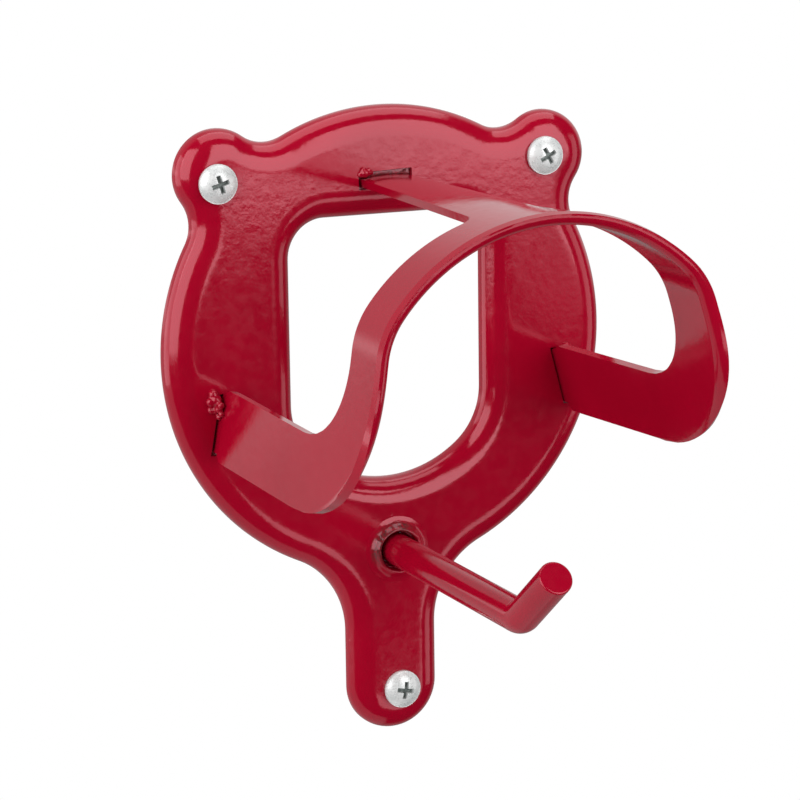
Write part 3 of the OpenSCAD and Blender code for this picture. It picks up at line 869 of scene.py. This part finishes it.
@dataclass
class Backplate:
    """Dished plate with two ears, a tongue, a rolled rim, a window with rolled edges and a collar."""

    radius: float = 58.4
    depth: float = 6.0
    sheet: float = 2.0
    rim_roll: float = 7.0
    rim_land: float = 0.8
    ear_reach: float = 61.6
    ear_angle: float = 45.5
    ear_r: float = 11.0
    neck_top_r: float = 10.0
    neck_side_r: float = 9.5
    tongue_w: float = 23.8
    tongue_reach: float = 99.2
    tongue_neck_r: float = 21.5
    window_w: float = 51.6
    window_top: float = 31.8
    window_drop: float = 34.2
    window_corner_r: float = 9.5
    window_low_corner_r: float = 18.0
    window_low_r: float = 30.5
    window_roll: float = 6.5
    hook_drop: float = 51.8
    bore_r: float = 4.5
    hole_r: float = 2.75
    holes: tuple[tuple[float, float], ...] = ((-45.01, 42.40), (41.32, 44.06), (0.68, -87.98))
    slot_end_gap: float = 0.4
    slot_inner_gap: float = 0.5
    slot_outer_gap: float = 0.8
    strut_slot_room: float = 1.3
    cut_front: float = -8.0
    cut_back: float = 1.0
    drill_y: float = -4.0
    drill_l: float = 16.0
    scorch_r: float = 7.6
    swell_r: float = 8.2
    roll_steps: int = 14
    edge_round: float = 0.35
    collar: tuple[tuple[float, float], ...] = (
        (9.4, -0.35), (8.3, 0.03), (7.6, 0.16), (7.0, 0.45), (6.55, 0.9), (6.2, 1.4), (5.9, 1.85),
        (5.65, 2.1), (5.42, 2.2), (5.2, 2.12), (5.02, 1.85), (4.88, 1.3), (4.75, 0.5), (4.6, -0.6),
        (4.5, -2.4), (6.0, -1.7), (7.8, -1.2))

    def outer_line(self, bm: Mesh) -> list[Vert]:
        """Draws the plate's outline at the wall."""
        middle = Vector((0, 0, 0))
        a = math.radians(self.ear_angle)
        ear = self.ear_reach * Vector((math.cos(a), 0, math.sin(a)))
        top = circles_meet(middle, self.radius + self.neck_top_r, ear, self.ear_r + self.neck_top_r, 1)
        side = circles_meet(middle, self.radius + self.neck_side_r, ear, self.ear_r + self.neck_side_r, -1)
        half = self.tongue_w / 2
        low_x = half + self.tongue_neck_r
        low = Vector((low_x, 0, -math.sqrt((self.radius + self.tongue_neck_r) ** 2 - low_x ** 2)))
        tongue = Vector((0, 0, half - self.tongue_reach))
        line = Outline(bm, self.radius)
        line.arc(middle, bearing(middle, top), step=1.5)
        line.arc(top, bearing(top, ear), inward=True, step=5)
        line.arc(ear, bearing(ear, side), step=5)
        line.arc(side, bearing(side, middle), inward=True, step=5)
        line.arc(middle, bearing(middle, low), step=1.5)
        line.arc(low, -QUARTER_TURN, inward=True, step=3)
        line.line(tongue + Vector((half, 0, 0)), 4)
        line.arc(tongue, math.pi, step=5)
        return line.close()

    def window_line(self, bm: Mesh) -> list[Vert]:
        """Draws the window's edge at the wall."""
        half = self.window_w / 2
        high = Vector((half - self.window_corner_r, 0, self.window_top - self.window_corner_r))
        arch = Vector((0, 0, self.window_low_r - self.window_drop))
        low_x = half - self.window_low_corner_r
        drop = math.sqrt((self.window_low_r - self.window_low_corner_r) ** 2 - low_x ** 2)
        low = Vector((low_x, 0, arch.z - drop))
        line = Outline(bm, self.window_top)
        line.line(Vector((high.x, 0, self.window_top)), 10)
        line.arc(high, QUARTER_TURN, step=5)
        line.line(Vector((half, 0, low.z)), 16)
        line.arc(low, bearing(arch, low), step=3)
        line.arc(arch, math.pi, step=3)
        return line.close()

    def roll(self, bm: Mesh, loop: list[Vert], width: float,
             way: int) -> list[Vert]:
        """Grows a rolled edge from the wall to the plate's front.

        Args:
            bm: Mesh of the plate.
            loop: Edge at the wall.
            width: Width of the roll seen from the front.
            way: -1 to roll inwards, 1 outwards.

        Returns:
            The line where the roll meets the flat front.
        """
        normals = outward(loop)
        base = [v.co.copy() for v in loop]
        loop = grow_ring(bm, loop, [p + FRONT * self.rim_land for p in base])
        for i in range(1, self.roll_steps + 1):
            a = QUARTER_TURN * i / self.roll_steps
            ahead = self.rim_land + (self.depth - self.rim_land) * math.sin(a)
            in_by = way * width * (1 - math.cos(a))
            loop = grow_ring(bm, loop, [p + n * in_by + FRONT * ahead for p, n in zip(base, normals)])
        return loop

    def shell(self) -> Piece:
        """Builds the dished shell: two rolled edges and the flat front between them, given thickness."""
        bm = bmesh.new()
        outer = self.roll(bm, self.outer_line(bm), self.rim_roll, -1)
        inner = self.roll(bm, self.window_line(bm), self.window_roll, 1)
        rims = loop_edges(bm, outer) + loop_edges(bm, inner)
        filled = bmesh.ops.triangle_fill(bm, use_beauty=True, use_dissolve=False, edges=rims, normal=FRONT)
        flat = [g for g in filled["geom"] if isinstance(g, bmesh.types.BMFace)]
        bmesh.ops.recalc_face_normals(bm, faces=bm.faces)
        if flat[0].normal.y > 0:
            bmesh.ops.reverse_faces(bm, faces=bm.faces)
        bmesh.ops.inset_region(bm, faces=flat, thickness=0.5, depth=0.0, use_boundary=True,
                               use_even_offset=True)
        obj = as_object(bm, "plate_dish")
        thicken(obj, self.sheet, -1.0)
        return obj

    def openings(self, support: HeadSupport) -> Piece:
        """Builds the tools that cut the slots, the bore and the screw holes.

        Args:
            support: Support whose tabs pass through the slots.

        Returns:
            One object that holds all the tools.
        """
        bm = bmesh.new()
        turn, lean = math.radians(support.turn), math.radians(support.side_lean)
        low = support.tab_low - self.sheet * math.sin(lean) - self.slot_end_gap
        high = support.tab_high + self.slot_end_gap
        inner = self.sheet / math.cos(lean) + self.slot_inner_gap
        for side in Side:
            made = block(bm, Vector((-1, self.cut_front, low)), Vector((1, self.cut_back, high)))
            for vert in made:
                off = self.slot_outer_gap if vert.co.x > 0 else -inner
                vert.co.x = side.value * (support.side_x(vert.co.z) + off)
            turn_up(bm, made, turn)
        half = support.strut_tab_w / 2 + self.slot_outer_gap
        fall = hollow(support.crown_r, support.strut_tab_w / 2)
        low = support.top - self.sheet - fall - self.slot_inner_gap
        high = support.top + self.strut_slot_room
        made = block(bm, Vector((-half, self.cut_front, low)), Vector((half, self.cut_back, high)))
        turn_up(bm, made, turn)
        bmesh.ops.recalc_face_normals(bm, faces=bm.faces)
        drill(bm, Vector((0, self.drill_y, -self.hook_drop)), self.bore_r, self.drill_l)
        for x, z in self.holes:
            drill(bm, Vector((x, self.drill_y, z)), self.hole_r, self.drill_l)
        return as_object(bm, "plate_openings")

    def add_collar(self, bm: Mesh) -> None:
        """Raises the uneven collar round the bore."""
        centre = Vector((0, -self.depth, -self.hook_drop))
        for vert in lathe(bm, list(self.collar), centre, 96, closed=True):
            off = vert.co - centre
            out = Vector((off.x, 0, off.z))
            ring = out.length
            if ring > self.bore_r + 0.1 and off.y < 0.2:
                swell = 0.16 * lumps(vert.co, 3.2, 4.0) + 0.05 * lumps(vert.co, 1.2, 9.0)
                swell *= ease((self.swell_r - ring) / 1.6)
                vert.co += out.normalized() * swell * 1.2 + FRONT * swell * 0.8

    def build(self, support: HeadSupport) -> Piece:
        """Makes the plate.

        Args:
            support: Support whose tabs pass through its slots.

        Returns:
            The plate, in millimetres.
        """
        obj = self.shell()
        carve(obj, self.openings(support))
        round_edges(obj, self.edge_round, 2, 45)
        with editing(obj) as bm:
            self.add_collar(bm)
            bmesh.ops.recalc_face_normals(bm, faces=bm.faces)
        self.scorch_and_shade(obj)
        even_normals(obj)
        return obj

    def scorch_and_shade(self, obj: Piece) -> None:
        """Marks where the weld's heat browned the coat, above and left of the bar."""
        centre = Vector((0, -self.depth, -self.hook_drop))
        shares = []
        for vert in obj.data.vertices:
            off = vert.co - centre
            ring = math.hypot(off.x, off.z)
            lit = ease(self.scorch_r - ring) * ease((-off.y - 0.05) / 0.5)
            aim = (-0.62 * off.x + 0.78 * off.z) / max(0.1, ring)
            shares.append(lit * ease((aim + 0.25) / 0.9))
        mark(obj, "scorch_and_shade", shares)


@dataclass
class ReinHook:
    """Round bar with a bend and a raised tip."""

    radius: float = 4.0
    drop: float = 51.8
    reach: float = 75.0
    lift: float = 38.0
    tip_l: float = 22.0
    bend_r: float = 6.0
    wall_gap: float = 0.6
    end_round: float = 0.45
    sides: int = 64

    def build(self) -> Piece:
        """Extrudes a ring along the bar, spins it round the bend and rounds its ends.

        Returns:
            The bar, in millimetres.
        """
        bm = bmesh.new()
        lift = math.radians(self.lift)
        set_back = self.bend_r * math.tan(lift / 2)
        bend_y = set_back - self.reach
        ring = bmesh.ops.create_circle(bm, cap_ends=False, radius=self.radius, segments=self.sides)["verts"]
        bmesh.ops.rotate(bm, cent=(0, 0, 0), matrix=Matrix.Rotation(QUARTER_TURN, 3, "X"), verts=ring)
        bmesh.ops.translate(bm, vec=(0, -self.wall_gap, -self.drop), verts=ring)
        edges = bm.edges[:]
        first = edges
        run = Vector((0, bend_y + self.wall_gap, 0))
        for _ in range(8):
            edges = self._extend(bm, edges, run / 8)
        last = bmesh.ops.spin(bm, geom=edges + list({v for e in edges for v in e.verts}),
                              cent=(0, bend_y, self.bend_r - self.drop), axis=(1, 0, 0), dvec=(0, 0, 0),
                              angle=-lift, steps=24, use_merge=False, use_duplicate=False)["geom_last"]
        edges = [g for g in last if isinstance(g, Edge)]
        way = Vector((0, -math.cos(lift), math.sin(lift))) * (self.tip_l - set_back)
        for _ in range(3):
            edges = self._extend(bm, edges, way / 3)
        for rim in (first, edges):
            bmesh.ops.edgeloop_fill(bm, edges=rim)
        bmesh.ops.recalc_face_normals(bm, faces=bm.faces)
        obj = as_object(bm, "hook_bar")
        round_edges(obj, self.end_round, 4, 60)
        even_normals(obj)
        return obj

    @staticmethod
    def _extend(bm: Mesh, edges: list[Edge], way: Vector) -> list[Edge]:
        """Extrudes a ring of edges by a way and returns the new ring."""
        geom = bmesh.ops.extrude_edge_only(bm, edges=edges)["geom"]
        verts = [g for g in geom if isinstance(g, Vert)]
        bmesh.ops.translate(bm, vec=way, verts=verts)
        fresh = set(verts)
        return [g for g in geom if isinstance(g, Edge) and set(g.verts) <= fresh]


@dataclass
class WeldBead:
    """Lump of weld made of run-together drops under the coat, with painted shade on the part inside the slot.
    """

    name: str
    node: str
    drops: tuple[tuple[float, float, float, float], ...]
    root_run: tuple[tuple[float, float], ...] = ()
    root_y: float = -4.1
    root_r: float = 0.75
    # Depth behind which the bead takes painted shade.
    painted_shade_y: float = -5.6
    voxel: float = 0.22

    def build(self) -> Piece:
        """Runs the drops together, wrinkles them and returns the bead, in millimetres."""
        bm = bmesh.new()
        for x, y, z, r in (*self.drops, *((x, self.root_y, z, self.root_r) for x, z in self.root_run)):
            made = bmesh.ops.create_icosphere(bm, subdivisions=3, radius=r)["verts"]
            bmesh.ops.translate(bm, vec=(x, y, z), verts=made)
        obj = as_object(bm, self.name)
        melt = obj.modifiers.new("melt", "REMESH")
        melt.mode = "VOXEL"
        melt.voxel_size = self.voxel
        settle(obj)
        with editing(obj) as bm:
            for _ in range(4):
                bmesh.ops.smooth_vert(bm, verts=bm.verts, factor=0.5, use_axis_x=True, use_axis_y=True,
                                      use_axis_z=True)
            for vert in bm.verts:
                vert.co += vert.normal * (0.12 * lumps(vert.co, 1.6, 2.0) + 0.03 * lumps(vert.co, 0.8, 7.0))
        # Painted shade: the root weld deep in the slot takes the dark tone, where the slot's shadow falls.
        mark(obj, "scorch_and_shade", [ease((vert.co.y - self.painted_shade_y) / 0.5) for vert in obj.data.vertices])
        return obj


@dataclass
class HookWeld:
    """Uneven ring of weld that holds the bar behind the plate."""

    rod_r: float = 4.05
    drop: float = 51.8
    face: float = 4.0
    profile: tuple[tuple[float, float], ...] = (
        (0.0, 0.0), (2.6, 0.0), (2.45, -0.5), (2.1, -1.1), (1.6, -1.6), (1.0, -2.05), (0.4, -2.3),
        (0.0, -2.35))

    def build(self) -> Piece:
        """Turns the fillet, wrinkles it and returns the ring, in millimetres."""
        bm = bmesh.new()
        centre = Vector((0, -self.face, -self.drop))
        profile = [(self.rod_r + r, ahead) for r, ahead in self.profile]
        for vert in lathe(bm, profile, centre, 120, closed=True):
            off = vert.co - centre
            out = Vector((off.x, 0, off.z))
            if off.y > 0.2 and out.length > self.rod_r + 0.2:
                ripple = 0.18 * math.sin(14 * math.atan2(off.z, off.x) + 2 * off.y)
                ripple += 0.2 * lumps(vert.co, 1.6, 3.0)
                vert.co += out.normalized() * ripple
        bmesh.ops.recalc_face_normals(bm, faces=bm.faces)
        return as_object(bm, "hook_weld_ring")


@dataclass
class WallScrew:
    """Pan-head wood screw with a cross recess, a plain neck, a rolled thread and a point."""

    name: str
    node: str
    centre: tuple[float, float]
    recess_turn: float
    plate_depth: float = 6.0
    thread_d: float = 4.8
    head_d: float = 9.5
    head_h: float = 3.0
    head_side_h: float = 1.0
    length: float = 25.0
    neck_step: float = 0.4
    pitch: float = 1.8
    core_share: float = 0.68
    slit_l: float = 0.58
    slit_w: float = 0.15
    slit_depth: float = 0.6

    def head_profile(self) -> list[tuple[float, float]]:
        """Returns radius and height of the head and the neck, from the crown down to the thread."""
        r = self.head_d / 2
        dome = self.head_h - self.head_side_h
        dome_r = (r * r + dome * dome) / (2 * dome)
        profile = [(1e-5, self.head_h)]
        for i in range(1, 15):
            x = r * 0.97 * i / 14
            profile.append((x, self.head_h - dome_r + math.sqrt(dome_r * dome_r - x * x)))
        side = self.head_side_h
        profile += [(r - 0.04, side + 0.18), (r, side - 0.2), (r, 0.25), (r - 0.2, 0.0)]
        neck = self.thread_d / 2 - self.neck_step
        return profile + [(neck + 0.25, 0.0), (neck, -0.3)]

    def build(self) -> Piece:
        """Turns the screw, cuts its recess and rolls its thread.

        Returns:
            The screw, in millimetres.
        """
        place = Vector((self.centre[0], -self.plate_depth, self.centre[1]))
        bm = bmesh.new()
        core = self.thread_d / 2 * self.core_share
        neck_end = self.plate_depth + 0.5
        taper = self.length - 1.4 * self.thread_d
        profile = self.head_profile()
        profile += [(self.thread_d / 2 - self.neck_step, -neck_end), (core, -neck_end - 0.6), (core, -taper),
                    (0.35, -self.length + 0.5), (1e-5, -self.length)]
        lathe(bm, profile, place, 64)
        bmesh.ops.recalc_face_normals(bm, faces=bm.faces)
        obj = as_object(bm, self.name)
        for quarter in range(2):
            carve(obj, self.recess_tool(place, self.recess_turn + 90 * quarter))
        round_edges(obj, 0.1, 2, 50)
        with editing(obj) as bm:
            self.roll_thread(bm, place, core, neck_end, taper)
        face = place.y - self.head_h
        # Painted shade: the zinc darkens towards the floor of the cross recess.
        mark(obj, "sunk", [self.sunk_share(v.co - place, v.co.y - face) for v in obj.data.vertices])
        return obj

    def sunk_share(self, off: Vector, under: float) -> float:
        """Returns the share of painted shade at a vertex by how deep it lies in the recess, from 0 on the
        crown to 1 at its floor.
        """
        r = math.hypot(off.x, off.z)
        if off.y > 0 or r > self.head_d * 0.33:
            return 0.0
        dome = hollow(6.6, r)
        return ease((under - dome - 0.25) / 0.9)

    def recess_tool(self, place: Vector, angle: float) -> Piece:
        """Builds one tapered wing of the tool that cuts the recess, turned by an angle in degrees."""
        bm = bmesh.new()
        made = bmesh.ops.create_cube(bm, size=1.0)["verts"]
        bmesh.ops.scale(bm, vec=(self.head_d * self.slit_l, 4.0, self.head_d * self.slit_w), verts=made)
        floor = [v for v in made if v.co.y > 0]
        bmesh.ops.scale(bm, vec=(0.72, 1, 0.72), verts=floor)
        bmesh.ops.rotate(bm, cent=(0, 0, 0), matrix=Matrix.Rotation(-math.radians(angle), 3, "Y"), verts=made)
        ahead = self.head_h - self.slit_depth * self.head_h + 2.0
        bmesh.ops.translate(bm, vec=place + FRONT * ahead, verts=made)
        return as_object(bm, self.name + "_recess")

    def roll_thread(self, bm: Mesh, place: Vector, core: float, neck_end: float,
                    taper: float) -> None:
        """Winds a ridge along the shank, fading into the point.

        Args:
            bm: Mesh of the screw.
            place: Middle of the head's underside.
            core: Radius of the shank under the thread.
            neck_end: Where the thread starts, behind the head.
            taper: Where the point starts, behind the head.
        """
        known = len(bm.verts)
        tooth = ((core - 0.1, 0.0), (self.thread_d / 2, 0.42), (core - 0.1, 0.84))
        places = [place + Vector((r, neck_end + a, 0)) for r, a in tooth]
        chain = [bmesh.ops.create_vert(bm, co=spot)["vert"][0] for spot in places]
        pairs = ((0, 1), (1, 2), (2, 0))
        edges = [bmesh.ops.contextual_create(bm, geom=[chain[i], chain[j]])["edges"][0] for i, j in pairs]
        turns = (self.length - 1.0 - neck_end) / self.pitch
        steps = int(turns * 32)
        bmesh.ops.spin(bm, geom=[*chain, *edges], cent=place, axis=(0, 1, 0),
                       dvec=(0, self.pitch * turns / steps, 0), angle=math.tau * turns, steps=steps,
                       use_merge=False, use_duplicate=False)
        bm.verts.ensure_lookup_table()
        ridge = bm.verts[known:]
        for vert in ridge:
            off = vert.co - place
            slim = 1 - 0.86 * min(1.0, max(0.0, (off.y - taper) / (self.length - taper)))
            start = ease((off.y - neck_end + 0.2) / 1.2)
            reach = core + (math.hypot(off.x, off.z) - core) * start
            flat = Vector((off.x, 0, off.z)).normalized() * reach * slim
            vert.co = place + Vector((flat.x, off.y, flat.z))
        ends = [e for e in bm.edges if e.is_boundary]
        bmesh.ops.holes_fill(bm, edges=ends, sides=4)
        faces = [f for f in bm.faces if all(v.index >= known or v.index < 0 for v in f.verts)]
        bmesh.ops.recalc_face_normals(bm, faces=faces)


@dataclass
class Studio:
    """Camera, white surroundings, floor and soft lamps."""

    azimuth: float = -23.99
    elevation: float = 11.594
    roll: float = -0.807
    lens: float = 125.746
    eye: tuple[float, float, float] = (-272.82, -622.12, 124.27)
    sensor_w: float = 36.0
    floor_z: float = -0.75
    floor_half: float = 3.0
    floor_spot: tuple[float, float] = (-2.9, 2.7)
    ambient: float = 0.45
    floor_glow: float = 0.45
    behind: tuple[float, float] = (0.0, 0.4)
    fall: tuple[float, float, float, float] = (-0.12, 0.0, 0.35, 1.0)
    left: tuple[float, float, float, float] = (0.02, 0.14, 1.0, 0.45)
    side: tuple[float, float] = (-0.1, 0.35)
    right_level: float = 0.8
    dark: float = 0.012

    def camera(self) -> None:
        """Sets the camera where the photograph was taken."""
        a, e, r = (math.radians(x) for x in (self.azimuth, self.elevation, self.roll))
        back = Vector((math.sin(a) * math.cos(e), -math.cos(a) * math.cos(e), math.sin(e)))
        right = (-back).cross(Vector((0, 0, 1))).normalized()
        up = right.cross(-back)
        across = right * math.cos(r) + up * math.sin(r)
        upright = up * math.cos(r) - right * math.sin(r)
        data = bpy.data.cameras.new("camera")
        data.lens = self.lens
        data.sensor_width = self.sensor_w
        data.clip_start, data.clip_end = 0.01, 50.0
        cam = bpy.data.objects.new("camera", data)
        turn = Matrix((across, upright, back)).transposed().to_4x4()
        cam.matrix_world = Matrix.Translation(Vector(self.eye) * MM) @ turn
        bpy.context.scene.collection.objects.link(cam)
        bpy.context.scene.camera = cam

    def surroundings(self) -> None:
        """Makes the world: white to the eye and behind the rack, dim in front of it."""
        world = bpy.data.worlds.new("studio")
        bpy.context.scene.world = world
        world.use_nodes = True
        tree = world.node_tree
        tree.nodes.clear()
        b = NodeBench(tree)
        path = b.add("ShaderNodeLightPath").outputs
        way = b.add("ShaderNodeSeparateXYZ", {"Vector": b.add("ShaderNodeTexCoord").outputs["Generated"]})
        behind = b.ramp(way.outputs["Y"], *self.behind)
        fall = b.ramp(way.outputs["Z"], *self.fall)
        left = b.ramp(way.outputs["Z"], *self.left)
        side = b.ramp(way.outputs["X"], *self.side)
        sheet = b.between(side, left, self.right_level)
        white = b.math("MULTIPLY", b.math("MULTIPLY", sheet, fall), behind)
        mirror = b.math("MAXIMUM", path["Is Glossy Ray"], path["Is Transmission Ray"])
        seen = b.math("MAXIMUM", white, self.dark)
        level = b.between(mirror, self.ambient, seen)
        strength = b.math("MAXIMUM", path["Is Camera Ray"], level)
        sky = b.add("ShaderNodeBackground", {"Color": (1, 1, 1, 1), "Strength": strength})
        b.add("ShaderNodeOutputWorld", {"Surface": sky.outputs["Background"]})

    def floor(self) -> None:
        """Lays the pale floor well below the rack, white to the eye and in reflections."""
        bm = bmesh.new()
        bmesh.ops.create_grid(bm, x_segments=4, y_segments=4, size=self.floor_half)
        bmesh.ops.translate(bm, vec=(*self.floor_spot, self.floor_z), verts=bm.verts)
        obj = as_object(bm, "floor")
        pale = bpy.data.materials.new("pale_floor")
        pale.use_nodes = True
        tree = pale.node_tree
        tree.nodes.clear()
        b = NodeBench(tree)
        path = b.add("ShaderNodeLightPath").outputs
        white = b.math("MAXIMUM", b.math("MAXIMUM", path["Is Camera Ray"], path["Is Glossy Ray"]),
                       path["Is Transmission Ray"])
        matt = b.add("ShaderNodeBsdfDiffuse", {"Color": (0.8, 0.8, 0.8, 1)})
        level = b.math("MAXIMUM", path["Is Camera Ray"], self.floor_glow)
        glow = b.add("ShaderNodeEmission", {"Color": (1, 1, 1, 1), "Strength": level})
        surface = b.add("ShaderNodeMixShader", {0: white, 1: matt.outputs[0], 2: glow.outputs[0]})
        b.add("ShaderNodeOutputMaterial", {"Surface": surface.outputs[0]})
        obj.data.materials.append(pale)

    @staticmethod
    def lamp(name: str, spot: tuple[float, float, float], size: tuple[float, float], power: float,
             aim: tuple[float, float, float] = (0, -0.03, -0.02)) -> None:
        """Hangs a soft-box that faces a point.

        Args:
            name: Name of the lamp.
            spot: Where it hangs, in metres.
            size: Width and height, in metres.
            power: Power in watts.
            aim: Point that it faces.
        """
        data = bpy.data.lights.new(name, "AREA")
        data.shape = "RECTANGLE"
        data.size, data.size_y = size
        data.energy = power
        obj = bpy.data.objects.new(name, data)
        obj.location = spot
        obj.rotation_mode = "QUATERNION"
        obj.rotation_quaternion = (Vector(aim) - Vector(spot)).to_track_quat("-Z", "Y")
        obj.visible_camera = False
        bpy.context.scene.collection.objects.link(obj)

    def build(self) -> None:
        """Sets up the whole studio."""
        self.camera()
        self.surroundings()
        self.floor()
        self.lamp("overhead", (0.25, -0.05, 1.0), (1.2, 0.75), 5.0, (0.25, -0.05, 0.0))
        self.lamp("left_box", (-1.2, -0.6, 0.5), (1.2, 1.6), 15.0)
        self.lamp("left_rear_box", (-1.25, 0.35, 0.15), (1.0, 1.2), 5.5)
        self.lamp("right_box", (0.5, -1.0, 0.423), (0.9, 1.054), 8.2, (0.5, 0.0, 0.423))
        self.lamp("right_low_box", (0.72, -1.0, -0.149), (0.37, 0.088), 0.06, (0.72, 0.0, -0.149))
        self.lamp("right_side_box", (1.2, -0.45, -0.1), (0.5, 0.9), 1.4)
        self.lamp("low_front_box", (0.55, -1.0, -0.62), (0.9, 0.3), 1.4, (0.55, 0.0, -0.3))
        bpy.context.scene.view_settings.view_transform = "Standard"


def main() -> None:
    """Builds the rack's pieces in order, then the studio."""
    logging.basicConfig(level=logging.INFO, format="%(name)s %(message)s")
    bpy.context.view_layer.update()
    finishes = Finishes()
    support = HeadSupport()
    finishes.dress(Backplate().build(support), Slot.RED_COAT, "backplate")
    finishes.dress(support.build(), Slot.RED_COAT, "head_support")
    finishes.dress(ReinHook().build(), Slot.RED_COAT, "rein_hook")
    finishes.dress(HookWeld().build(), Slot.RED_COAT, "weld_hook")
    beads = (
        WeldBead("bead_left", "weld_left", (
            (-47.6, -6.2, -8.0, 1.3), (-48.3, -6.3, -9.8, 1.3), (-47.0, -6.6, -9.4, 1.5),
            (-46.2, -6.2, -10.6, 1.2), (-48.3, -6.0, -11.9, 0.9), (-47.1, -6.0, -11.8, 1.1),
            (-45.9, -6.0, -12.2, 0.7), (-46.5, -7.4, -11.4, 1.1), (-46.2, -8.1, -12.6, 0.8),
            (-46.5, -8.4, -10.4, 0.9), (-46.4, -6.6, -13.6, 0.8)), support.tab_run(Side.LEFT)),
        WeldBead("bead_right", "weld_right", (
            (47.3, -6.2, -4.9, 1.3), (48.1, -6.3, -6.6, 1.3), (47.1, -6.6, -6.2, 1.4),
            (48.4, -6.0, -8.6, 1.0), (47.5, -6.0, -8.4, 1.2)), support.tab_run(Side.RIGHT)),
        WeldBead("bead_top", "weld_top", (
            (-7.2, -6.2, 42.6, 1.2), (-8.2, -6.0, 42.3, 0.9), (-6.2, -6.1, 42.8, 1.0),
            (-7.5, -6.3, 43.3, 0.8), (-5.6, -6.0, 42.6, 0.7)), support.strut_run()),
    )
    for bead in beads:
        finishes.dress(bead.build(), Slot.RED_COAT, bead.node)
    screws = (
        WallScrew("screw_left", "screw_top_left", (-45.01, 42.40), 17.0),
        WallScrew("screw_right", "screw_top_right", (41.32, 44.06), 28.0),
        WallScrew("screw_low", "screw_bottom", (0.68, -87.98), -10.0),
    )
    for screw in screws:
        finishes.dress(screw.build(), Slot.ZINC, screw.node)
    Studio().build()


if __name__ == "__main__":
    main()
